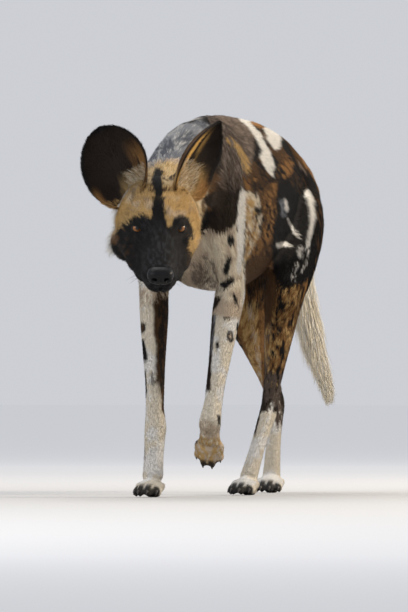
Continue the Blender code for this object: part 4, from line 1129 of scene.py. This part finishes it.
def make_skin():
    """The skin: the flesh, drawn in by the depth of the coat, with the head's folds."""
    skin = make_flesh()
    refine_head(skin)
    places, normals = vertices_of(skin)
    values = coat_values(bone_shares(places), places)
    places = sculpt_head(places, normals) - normals * values[:, 0:1]
    place_vertices(skin, places)
    open_eyes(skin)
    smooth = skin.modifiers.new("smooth", "SMOOTH")
    smooth.factor = 0.4
    smooth.iterations = 1
    settle(skin)
    skin.data.shade_smooth()
    places, normals = vertices_of(skin)
    places[:, 2] = np.maximum(places[:, 2], 0)
    place_vertices(skin, places)
    # painted shade: the skin under the tufts is painted a quarter darker than the hair's colour
    write_colours(skin.data, coat_colours(places, normals) * 0.75)
    return skin


def bare(points):
    """1 on the skin that has no hair: eyes, nose, lips' edge and soles."""
    local = moved(points, HEAD.inverted())
    share = np.zeros(len(points))
    for side in SIDES.values():
        eye = moved(points, eye_frame(side).inverted())
        inside = (eye[:, 0] / 0.0104) ** 2 + (eye[:, 2] / 0.0062) ** 2
        share = np.maximum(share, (inside < 1) & (np.abs(eye[:, 1]) < 0.018))
    nose = (local[:, 1] < -0.088) & (local[:, 2] > -0.048) & (np.abs(local[:, 0]) < 0.024)
    share = np.maximum(share, nose)
    for name in LIMBS:
        paw = moved(points, (TO_ROW @ paw_matrix(name)).inverted())
        share = np.maximum(share, (paw[:, 2] < PAW_BOTTOM + 0.009) & (np.abs(paw[:, 0]) < 0.04)
                           & (np.abs(paw[:, 1] + 0.015) < 0.045))
    return share


def coat_pieces(skin, material):
    """The short and middling coat in joined pieces, one or more for each part of the body."""
    draw = np.random.default_rng(7)
    places, normals = vertices_of(skin)
    values = coat_values(bone_shares(places), places)
    roots, out = scatter(places, normals, triangles_of(skin), values[:, 3], draw)
    keep = bare(roots) < 0.5
    roots, out = roots[keep], out[keep]
    shares = bone_shares(roots)
    depth, length, width, _ = coat_values(shares, roots).T
    lie = lie_of(roots, out, shares)
    lie = unit(lie + 0.13 * draw.normal(size=roots.shape))
    lie = unit(lie - out * (lie * out).sum(axis=1, keepdims=True))
    length = length * draw.uniform(0.75, 1.25, len(roots))
    lift = depth / length * draw.uniform(0.5, 1.2, len(roots))
    sizes = np.stack([length, width * draw.uniform(0.8, 1.2, len(roots)), lift,
                      np.full(len(roots), 0.0006)], axis=1)
    colours = coat_colours(roots, out) * draw.uniform(0.78, 1.18, (len(roots), 1))
    groups = np.array([bone[0] for bone in BONES])[shares.argmax(axis=1)]
    short = (length < 0.0100) | ~np.isin(groups, ("head", "neck"))
    for group, part, rings in COAT_PIECES:
        mine = np.flatnonzero((groups == group) & (short == (rings == 1)))
        if not len(mine):
            continue
        spots = cylinder_spots(roots[mine], group)
        order = np.argsort(spots[:, 1], kind="stable")
        chunks = max(1, math.ceil(len(mine) * (6 * rings - 3) / PIECE_TRIANGLES))
        for k, chunk in enumerate(np.array_split(order, chunks)):
            pick = mine[chunk]
            bend = 0.05 * draw.normal(size=(len(pick), 3))
            piece = tufts(f"coat_{group}_{part}_{k}", roots[pick], out[pick], lie[pick], sizes[pick],
                          colours[pick], spots[chunk], bend, rings=rings)
            dress(piece, material, SLOTS[group])


def tail_plume(material):
    """The long hair of the tail."""
    draw = np.random.default_rng(21)
    path = np.array(between(TAIL_LINE, 8))
    radii = np.array(between([[r] for r in TAIL_RADII], 8))[:, 0]
    count = 7600
    share = 0.05 + 0.85 * (np.arange(count) + draw.random(count)) / count
    place = share * (len(path) - 1)
    i = np.clip(place.astype(int), 1, len(path) - 3)
    centre = moved(path[i] + (place - i)[:, None] * (path[i + 1] - path[i]), TO_ROW)
    along = unit(path[i + 2] - path[i - 1])
    side = unit(np.cross(along, np.tile((0.0, -1.0, 0.0), (count, 1))))
    angle = draw.uniform(0, math.tau, count)
    out = side * np.cos(angle)[:, None] + np.cross(along, side) * np.sin(angle)[:, None]
    length = 0.078 * np.interp(share, (0, 0.25, 0.7, 0.9), (0.50, 1.00, 0.95, 0.62))
    length *= draw.uniform(0.7, 1.1, count)
    spread = np.interp(share, (0, 0.25, 0.5, 0.75, 0.9), (0.12, 0.36, 0.36, 0.14, 0.06))
    sizes = np.stack([length, draw.uniform(0.0012, 0.0026, count),
                      spread * draw.uniform(0.5, 1.25, count), np.full(count, 0.001)], axis=1)
    roots = centre + out * (radii[i] * 0.9)[:, None]
    tone = draw.uniform(0.98, 1.08, (count, 1))
    colours = (np.array(IVORY) + draw.random((count, 1)) * (np.array(WHITE) - IVORY)) * tone
    dark = smoothstep(0.27, 0.12, share)
    colours += dark[:, None] * 0.7 * (np.array(BROWN) - colours)
    spots = np.stack([0.01 + 0.98 * angle / math.tau, 0.01 + 0.98 * share], axis=1)
    bend = 0.05 * draw.normal(size=(count, 3)) + np.array((0, 0, -0.06))
    piece = tufts("coat_tail_plume", roots, out, unit(along), sizes, colours, spots, bend, rings=3)
    dress(piece, material, "tail")


def ruff(skin_tree, material):
    """The longer hair behind and below the cheeks, with a white fringe on the right."""
    draw = np.random.default_rng(33)
    roots, out, lie, traits, tints = [], [], [], [], []
    for side, hairs, angles, backs, way_back, lifts, tint, share in RUFF:
        for _ in range(hairs):
            angle = math.radians(draw.uniform(*angles))
            back = draw.uniform(*backs)
            way = Vector((side * math.cos(angle), 0, math.sin(angle)))
            start = HEAD @ (Vector((0, back, -0.016)) + way * 0.2)
            spot, normal, _, _ = skin_tree.ray_cast(start, -(HEAD.to_3x3() @ way))
            if spot is None:
                continue
            flow = HEAD.to_3x3() @ mirrored(way_back, side)
            flow = (flow - normal * flow.dot(normal)).normalized()
            roots.append(spot)
            out.append(normal)
            lie.append(flow)
            traits.append((back, draw.uniform(*lifts), share))
            tints.append(tint)
    roots, out, lie, traits, tints = (array_of(rows) for rows in (roots, out, lie, traits, tints))
    count = len(roots)
    lie = unit(lie + 0.11 * draw.normal(size=lie.shape))
    back, lift, share = traits.T
    length = np.interp(back, (0.02, 0.05, 0.095), (0.010, 0.020, 0.032)) * (1 + 0.15 * share)
    length *= draw.uniform(0.7, 1.15, count)
    sizes = np.stack([length, draw.uniform(0.0007, 0.0014, count), lift, np.full(count, 0.0006)], axis=1)
    colours = coat_colours(roots, out)
    colours += share[:, None] * (tints - colours)
    colours *= draw.uniform(0.78, 1.18, (count, 1))
    spots = cylinder_spots(roots, "head")
    bend = 0.06 * draw.normal(size=(count, 3)) + np.array((0, 0, -0.05))
    piece = tufts("coat_ruff", roots, out, lie, sizes, colours, spots, bend)
    dress(piece, material, "head")


def ear_rows(side_name, t):
    """Half width, half angle of the curl, and how far back the ear's middle lies, at t."""
    widest, level, root, top, bow, hook = EAR_FORM[side_name]
    upper = widest * np.clip(1 - ((t - level) / (1 - level)) ** 2, 0, 1) ** top
    lower = widest * (root + (1 - root) * np.sin(np.pi / 2 * np.clip(t / level, 0, 1)) ** 0.65)
    half = np.maximum(np.where(t > level, upper, lower), 0.0020)
    curl = np.radians(112 - 46 * np.clip(t / 0.40, 0, 1) ** 0.8 - 30 * np.maximum(t - 0.40, 0) / 0.60)
    return half, curl, 0.030 + bow * t + hook * t * t


def ear_matrix(side_name):
    root = HEAD @ mirrored(EAR_ROOT, SIDES[side_name])
    tilt, lean, turn = (math.radians(angle) for angle in EAR_POSE[side_name])
    return (Matrix.Translation(root) @ Matrix.Rotation(HEAD_YAW, 4, "Z") @ Matrix.Rotation(lean, 4, "Y")
            @ Matrix.Rotation(tilt, 4, "X") @ Matrix.Rotation(turn, 4, "Z"))


def ear_points(side_name, t, place, offset):
    """Points of the ear: t from root to tip, place across from -1 to 1, offset backwards."""
    half, curl, middle = ear_rows(side_name, t)
    radius = half / np.sin(np.minimum(curl, np.pi / 2))
    side = SIDES[side_name]
    lateral = side * place * curl
    angle = side * np.maximum(lateral, -np.radians(EAR_HINGE[side_name]))
    rest = side * np.minimum(side * (curl * place - angle), 0) * radius * np.interp(t, (0, 0.45), (0.25, 1))
    reach = radius + offset
    local = np.stack([np.sin(angle) * reach + np.cos(angle) * rest,
                      middle - radius + np.cos(angle) * reach - np.sin(angle) * rest,
                      EAR_HEIGHT * t], axis=1)
    return moved(local, ear_matrix(side_name))


def ear_frame_at(side_name, t, place, face):
    """Outward normal on a face of the ear (1 back, -1 front) and the way up it."""
    step = 0.01
    above = ear_points(side_name, np.clip(t + step, 0, 1), place, 0)
    below = ear_points(side_name, np.clip(t - step, 0, 1), place, 0)
    up = above - below
    over = ear_points(side_name, t, place + step, 0) - ear_points(side_name, t, place - step, 0)
    normal = unit(np.cross(over, up)) * -face
    outside = ear_points(side_name, t, place, 0.002) - ear_points(side_name, t, place, 0)
    flip = np.sign((normal * outside).sum(axis=1) * face)[:, None]
    return normal * np.where(flip == 0, 1, flip), unit(up)


def ear_colours(points, t, place, face, side):
    """Dark ear with a golden inner wall, pale roots inside and a black rim. The inner wall and pale roots
    carry painted light: bright gold on the left ear as if lit through, dimmer orange on the right ear as
    painted shade.
    """
    medial = -side * place
    colours = np.tile(np.array(UMBER) * 0.7, (len(points), 1))
    if face < 0:
        medial = np.minimum(medial + EAR_TURN["left" if side > 0 else "right"], 1)
        value = rough_noise(np.stack([place * 9, t * 2.2, 0 * t], axis=1), 1.0, 101)
        wall = smoothstep(0.22, 0.55, medial) * smoothstep(0.04, 0.12, t)
        wall *= smoothstep(*((0.94, 0.70) if side > 0 else (0.80, 0.35)), t)
        # painted light: the left ear's inner face is painted at full brightness in gold as if lit through,
        # the right ear's at 0.60 in orange as painted shade
        glow = 1.0 if side > 0 else 0.60
        gold = np.array(GOLD if side > 0 else ORANGE) * glow
        colours += (wall * smoothstep(0.36, 0.60, value))[:, None] * (gold - colours)
        pale = smoothstep(-0.35, 0.10, medial) * smoothstep(0.75, 0.45, medial) * smoothstep(0.48, 0.20, t)
        colours += (pale * glow * smoothstep(0.35, 0.60, value))[:, None] * (np.array(TAN) - colours)
        lobe = smoothstep(0.62, 0.85, side * place) * smoothstep(0.40, 0.20, t)
        colours += (lobe * 0.6)[:, None] * (np.array(ORANGE) - colours)
    else:
        patched(points, colours, BROWN, 0.030, 103, 0.50, 0.8)
        front = smoothstep(0.50, 0.62, medial) * smoothstep(0.10, 0.22, t) * smoothstep(0.92, 0.75, t)
        colours += (front * (0.1 if side > 0 else 0.8))[:, None] * (np.array(ORANGE) * 0.8 - colours)
        patched(points, colours, TAN, 0.022, 105, 0.50, smoothstep(0.35, 0.08, t))
    rim = np.maximum(smoothstep(0.86, 0.97, np.abs(place)), smoothstep(0.90, 0.98, t))
    colours += (rim * 0.9 * smoothstep(0.15, 0.35, t))[:, None] * (np.array(BLACK) - colours)
    return colours


def make_ear(side_name, material):
    """An ear's thin skin with a front and a back."""
    side = SIDES[side_name]
    rows, columns = 44, 49
    t, place = np.meshgrid(np.sin(np.pi / 2 * np.linspace(0, 1, rows)) ** 1.1,
                           np.linspace(-1, 1, columns), indexing="ij")
    t, place = t.ravel(), place.ravel()
    start = EAR_START + 0.13 * np.clip(side * place, 0, 1) ** 2
    t = start + (1 - start) * t
    thick = EAR_THICKNESS * (1 - 0.55 * np.abs(place) ** 3) * (1.35 - 0.7 * t)
    ripple = 0.0010 * (noise(np.stack([place * 3, t * 7, 0 * t], axis=1), 1, 111) - 0.5)
    sheets = [ear_points(side_name, t, place, face * thick / 2 + ripple) for face in (-1, 1)]
    # painted shade: the ear's skin under its hair is painted a fifth darker than the hair's colour
    colours = [ear_colours(sheet, t, place, face, side) * 0.8 for sheet, face in zip(sheets, (-1, 1))]
    count = rows * columns
    faces = []
    for i in range(rows - 1):
        for j in range(columns - 1):
            a = i * columns + j
            faces += [(a, a + 1, a + columns + 1, a + columns)]
            faces += [(a + count, a + columns + count, a + columns + 1 + count, a + 1 + count)]
    rim = list(range(columns)) + [i * columns + columns - 1 for i in range(1, rows)]
    rim += [(rows - 1) * columns + j for j in range(columns - 2, -1, -1)]
    rim += [i * columns for i in range(rows - 2, 0, -1)]
    for a, b in zip(rim, rim[1:] + rim[:1]):
        faces.append((a, a + count, b + count, b))
    piece = strip_mesh(f"ear_{side_name}_skin", np.concatenate(sheets), np.array(faces),
                       np.concatenate(colours))
    return dress(piece, material, f"ear_{side_name}", f"ear_{side_name}")


def ear_hair(side_name, material):
    """Short hair on both faces of an ear, a soft rim, and the pale hair inside its root."""
    side = SIDES[side_name]
    draw = np.random.default_rng(50 + side)
    parts = []
    for face, count in ((-1, 7500), (1, 7500)):
        t, place = draw.uniform(0.04, 0.985, count), draw.uniform(-0.98, 0.98, count)
        length = np.where(np.abs(place) > 0.8, 0.0075, 0.0060) * draw.uniform(0.7, 1.2, count)
        parts.append((t, place, np.full(count, face), length, np.full(count, 0.0008),
                      draw.uniform(0.06, 0.22, count), np.zeros(count)))
    count = 2400
    edge = draw.uniform(-1, 1, count)
    top = np.abs(edge) < 0.42
    t = np.where(top, draw.uniform(0.93, 1.0, count), draw.uniform(0.04, 0.95, count))
    place = np.where(top, draw.uniform(-1, 1, count), np.sign(edge))
    parts.append((t, place, draw.choice((-1, 1), count), draw.uniform(0.003, 0.0055, count),
                  np.full(count, 0.0007), draw.uniform(0.1, 0.4, count), np.ones(count)))
    count = 1200
    t = 0.02 + 0.36 * draw.random(count) ** 1.5
    place = -side * (draw.uniform(0.10, 0.80, count) - EAR_TURN[side_name])
    parts.append((t, place, np.full(count, -1), draw.uniform(0.008, 0.017, count),
                  np.full(count, 0.0006), draw.uniform(0.1, 0.45, count), np.full(count, 2)))
    count = 2400
    t = draw.uniform(-0.04, 0.10, count)
    place = draw.uniform(-1.0, 1.0, count)
    parts.append((t, place, draw.choice((-1, 1), count, p=(0.3, 0.7)), draw.uniform(0.007, 0.013, count),
                  np.full(count, 0.0009), draw.uniform(0.05, 0.25, count), np.full(count, 3)))
    t, place, face, length, width, lift, kind = (np.concatenate(rows) for rows in zip(*parts))
    thick = EAR_THICKNESS * (1 - 0.55 * np.abs(place) ** 3) * (1.35 - 0.7 * t)
    roots = ear_points(side_name, t, place, face * thick / 2)
    out = np.empty_like(roots)
    up = np.empty_like(roots)
    colours = np.empty_like(roots)
    for value in (-1, 1):
        mine = face == value
        out[mine], up[mine] = ear_frame_at(side_name, t[mine], place[mine], value)
        colours[mine] = ear_colours(roots[mine], t[mine], place[mine], value, side)
    over = ear_points(side_name, t, place + 0.01, 0) - ear_points(side_name, t, place - 0.01, 0)
    outwards = unit(over) * np.sign(place)[:, None]
    lie = unit(up + outwards * np.where(kind == 1, 0.9, 0.35)[:, None] + 0.14 * draw.normal(size=up.shape))
    inwards = unit(up + 0.6 * side * unit(over) + 0.14 * draw.normal(size=up.shape))
    lie = np.where((kind == 2)[:, None], inwards, lie)
    pale = kind == 2
    blond = draw.random((len(roots), 1))
    colours[pale] = (np.array(CREAM) * 0.9 * blond + np.array(TAN) * 0.7 * (1 - blond))[pale]
    base = kind == 3
    colours[base] = (np.array(TAN) * 0.9 * blond + np.array(OCHRE) * (1 - blond))[base]
    colours *= draw.uniform(0.7, 1.35, (len(roots), 1))
    sizes = np.stack([length, width, lift, np.full(len(roots), 0.0004)], axis=1)
    spots = np.stack([0.02 + 0.46 * (place + 1) / 2 + np.where(face > 0, 0.5, 0), 0.06 + 0.90 * t], axis=1)
    bend = 0.05 * draw.normal(size=roots.shape)
    for part, rings in (("short", 1), ("long", 2)):
        mine = (kind >= 2) == (rings == 2)
        piece = tufts(f"coat_ear_{side_name}_{part}", roots[mine], out[mine], lie[mine], sizes[mine],
                      colours[mine], spots[mine], bend[mine], rings=rings)
        dress(piece, material, f"ear_{side_name}")


def make_eye(side_name):
    """An eyeball with pupil and iris, looking ahead of the head."""
    side = SIDES[side_name]
    centre = HEAD @ mirrored(EYE_CENTRE, side)
    gaze = (camera_axes()[0] - centre).normalized()
    turn = gaze.to_track_quat("Z", "Y").to_matrix()
    rings, points = 40, 48
    corners, colours = [], []
    draw = np.random.default_rng(70 + side)
    streak = draw.uniform(0.75, 1.3, points)
    for i in range(rings + 1):
        angle = math.pi * i / rings
        bulge = 1 + 0.030 * max(0.0, math.cos(angle) - 0.72) / 0.28
        for k in range(points):
            around = math.tau * k / points
            flat = math.sin(angle)
            way = Vector((flat * math.cos(around), flat * math.sin(around), math.cos(angle)))
            corners.append(centre + turn @ (way * EYE_RADIUS * bulge))
            colours.append(eye_colour(math.degrees(angle), streak[k]))
    faces = []
    for i in range(rings):
        for k in range(points):
            a, b = i * points + k, i * points + (k + 1) % points
            faces.append((a, a + points, b + points, b))
    piece = strip_mesh(f"eyeball_{side_name}", array_of(corners), np.array(faces), np.array(colours))
    return dress(piece, eye_material(), f"eye_{side_name}", f"eye_{side_name}")


def eye_colour(angle, streak):
    if angle < PUPIL:
        return (0.002, 0.0015, 0.0015)
    if angle < IRIS:
        glow = (angle - PUPIL) / (IRIS - PUPIL)
        return tuple(c * streak * (0.55 + 0.60 * glow) for c in (0.230, 0.085, 0.018))
    if angle < IRIS_RIM:
        return (0.018, 0.009, 0.005)
    return (0.020, 0.013, 0.010)


def eye_material():
    """Wet, with the colours of pupil, iris and white."""
    material, shader, nodes, links = new_material("eye", 0.45, 0.1)
    shader.inputs["Coat Weight"].default_value = 0.6
    shader.inputs["Coat Roughness"].default_value = 0.03
    attribute = nodes.new("ShaderNodeAttribute")
    attribute.attribute_name = "coat"
    links.new(attribute.outputs["Color"], shader.inputs["Base Color"])
    return material


def make_lids(material):
    """The rims of the eyelids, which roll from the skin in to the eyeball."""
    bm = bmesh.new()
    profile = ((-1, 0.01122), (0.5, 0.0117), (3, 0.0123), (8, 0.0127), (16, 0.0127), (25, 0.0123),
               (34, 0.0114), (42, 0.0100))
    for side in SIDES.values():
        matrix = eye_frame(side)
        loops = []
        for extra, radius in profile:
            ring = []
            for k in range(LID_POINTS):
                around = math.tau * k / LID_POINTS
                x = EYE_OPENING[0] * math.cos(around)
                z = EYE_OPENING[1 if k < LID_POINTS // 2 else 2] * power(math.sin(around), 1.25)
                spread = math.asin(min(math.hypot(x, z) / EYE_RADIUS, 1)) + math.radians(extra)
                turn = math.atan2(z, x)
                way = Vector((math.sin(spread) * math.cos(turn), -math.cos(spread),
                              math.sin(spread) * math.sin(turn)))
                ring.append(bm.verts.new(matrix @ (way * radius)))
            loops.append(ring)
        for first, second in zip(loops, loops[1:]):
            for k in range(LID_POINTS):
                follow = (k + 1) % LID_POINTS
                bm.faces.new((first[k], first[follow], second[follow], second[k]))
    lids = object_from(bm, "eyelids")
    lids.data.shade_smooth()
    dress(lids, material, "head")


def make_nose(material):
    """The nose leather with nostrils and the groove between them."""
    bm = bmesh.new()
    add_loft(bm, [section(*row) for row in between(NOSE_LEATHER, 4)], HEAD)
    nose = remeshed(object_from(bm, "nose_leather"), 0.0010, 3)
    places, normals = vertices_of(nose)
    local = moved(places, HEAD.inverted())
    x, z = np.abs(local[:, 0]), local[:, 2]
    front = smoothstep(-0.100, -0.108, local[:, 1])
    press = 0.0020 * np.exp(-(x / 0.0012) ** 2) * smoothstep(-0.024, -0.034, z) * front
    hole = np.hypot((x - NOSTRIL[0]) / 0.0046, (z - NOSTRIL[1]) / 0.0036)
    press += 0.0085 * np.exp(-hole ** 4) * front
    curve = z - NOSTRIL[1] + 0.0035 - 0.30 * (x - 0.0150)
    slit = np.exp(-(curve / 0.0017) ** 2) * smoothstep(0.0095, 0.0125, x) * smoothstep(0.0245, 0.0200, x)
    press += 0.0040 * slit
    wing = np.exp(-(((x - 0.0140) / 0.0070) ** 2 + ((z + 0.0235) / 0.0040) ** 2))
    press -= 0.0012 * wing * front
    place_vertices(nose, places - normals * press[:, None])
    nose.data.shade_smooth()
    dress(nose, material, "nose", "nose")


def make_claws(material):
    """The claws, one on each toe."""
    for name in LIMBS:
        bm = bmesh.new()
        matrix = TO_ROW @ paw_matrix(name)
        for x, y in TOES:
            rows = []
            for k in range(7):
                t = k / 6
                radius = 0.0030 * (1 - 0.75 * t)
                rows.append([x * 1.08, y - 0.0200 - 0.0060 * t, -0.0205 - 0.0065 * t * t,
                             radius, radius * 1.25])
            add_loft(bm, tube(rows, points=12), matrix)
        claws = object_from(bm, f"claws_{name}")
        claws.data.shade_smooth()
        dress(claws, material, "paw_" + name)


def whiskers(skin_tree, material):
    """Black whiskers on the lips, brows and cheeks."""
    draw = np.random.default_rng(90)
    roots, out, lie = [], [], []
    for side in SIDES.values():
        for y, z, tilt in WHISKERS:
            way = Vector((side, 0, 0))
            start = HEAD @ (Vector((0, y, z)) + way * 0.2)
            spot, normal, _, _ = skin_tree.ray_cast(start, -(HEAD.to_3x3() @ way))
            roots.append(spot)
            out.append(normal)
            lie.append(HEAD.to_3x3() @ Vector((side * 0.6, 0.4, tilt)).normalized())
    roots, out, lie = (array_of(rows) for rows in (roots, out, lie))
    count = len(roots)
    sizes = np.stack([draw.uniform(0.012, 0.024, count), np.full(count, 0.0004),
                      np.full(count, 0.35), np.full(count, 0.002)], axis=1)
    colours = np.tile(np.array(BLACK), (count, 1))
    piece = tufts("coat_whiskers", roots, out, unit(lie), sizes, colours, cylinder_spots(roots, "head"),
                  0.1 * draw.normal(size=(count, 3)), rings=4)
    dress(piece, material, "head")


def floor_material():
    """Pale and matt, painted darker near the dog and lighter far away, to make up for the lamps' light
    falling off so that the floor fades into the background.
    """
    material, shader, nodes, links = new_material("floor", 0.9, 0.0)
    coordinates = nodes.new("ShaderNodeTexCoord")
    length = nodes.new("ShaderNodeVectorMath")
    length.operation = "LENGTH"
    links.new(coordinates.outputs["Object"], length.inputs[0])
    # painted light: the floor's colour rises with distance to even out the lamps' falloff
    ramp = nodes.new("ShaderNodeMapRange")
    ramp.inputs["From Min"].default_value = 0.4
    ramp.inputs["From Max"].default_value = 5.0
    ramp.inputs["To Min"].default_value = 0.50
    ramp.inputs["To Max"].default_value = 0.97
    links.new(length.outputs["Value"], ramp.inputs["Value"])
    links.new(ramp.outputs["Result"], shader.inputs["Base Color"])
    return material


def make_stage():
    """Pale floor, a pale studio world and soft lights."""
    bm = bmesh.new()
    bmesh.ops.create_grid(bm, x_segments=1, y_segments=1, size=60)
    floor = object_from(bm, "floor")
    floor.location.z = -0.0003
    floor.data.materials.append(floor_material())
    world = bpy.data.worlds.new("studio")
    world.use_nodes = True
    world.node_tree.nodes["Background"].inputs["Color"].default_value = (0.92, 0.94, 1.0, 1)
    world.node_tree.nodes["Background"].inputs["Strength"].default_value = 0.66
    bpy.context.scene.world = world
    bpy.context.scene.view_settings.view_transform = "Standard"
    lights = (("front", (-1.6, -4.2, 2.4), 3.0, 80, (0.95, 0.97, 1.0)),
              ("side", (3.4, 1.0, 2.2), 1.4, 150, (1.0, 0.86, 0.66)),
              ("top", (-0.6, 0.8, 3.4), 2.4, 60, (1.0, 0.97, 0.93)))
    for name, place, size, watts, colour in lights:
        lamp = bpy.data.objects.new(name, bpy.data.lights.new(name, "AREA"))
        lamp.data.size = size
        lamp.data.energy = watts
        lamp.data.color = colour
        lamp.location = place
        lamp.rotation_mode = "QUATERNION"
        lamp.rotation_quaternion = (Vector((0, 0, 0.35)) - lamp.location).to_track_quat("-Z", "Y")
        bpy.context.scene.collection.objects.link(lamp)


def make_camera():
    place, _, _, look = camera_axes()
    camera = bpy.data.objects.new("camera", bpy.data.cameras.new("camera"))
    camera.location = place
    camera.rotation_mode = "QUATERNION"
    camera.rotation_quaternion = look.to_track_quat("-Z", "Y")
    camera.data.sensor_fit = "VERTICAL"
    camera.data.sensor_height = 36
    camera.data.sensor_width = 24
    camera.data.lens = FOCAL / PHOTO[1] * 36
    camera.data.clip_end = 100
    bpy.context.scene.collection.objects.link(camera)
    bpy.context.scene.camera = camera


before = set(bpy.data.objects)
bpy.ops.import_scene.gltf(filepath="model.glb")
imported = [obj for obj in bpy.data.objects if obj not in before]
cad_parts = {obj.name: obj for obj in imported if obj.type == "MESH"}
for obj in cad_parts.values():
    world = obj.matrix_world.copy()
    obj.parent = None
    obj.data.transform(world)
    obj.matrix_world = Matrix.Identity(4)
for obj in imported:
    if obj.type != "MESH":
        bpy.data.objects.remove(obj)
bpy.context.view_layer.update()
TO_ROW, HEAD = frame_matrices()
BONES = make_bones()
coat = coat_material()
leather = plain_material("nose_leather", (0.003, 0.003, 0.0035), 0.34, 900, 0.0003, specular=0.2)
rim = plain_material("lid_rim", (0.006, 0.005, 0.005), 0.6, 1500, 0.0001)
horn = plain_material("claw", (0.030, 0.024, 0.020), 0.35, 700, 0.0001, specular=0.5)
skin = make_skin()
dress(skin, coat, "torso", *flesh_nodes())
coat_pieces(skin, coat)
skin_tree = BVHTree.FromObject(skin, bpy.context.evaluated_depsgraph_get())
ruff(skin_tree, coat)
whiskers(skin_tree, coat)
tail_plume(coat)
for ear_side in SIDES:
    make_ear(ear_side, coat)
    ear_hair(ear_side, coat)
    make_eye(ear_side)
make_lids(rim)
make_nose(leather)
make_claws(horn)
make_stage()
make_camera()
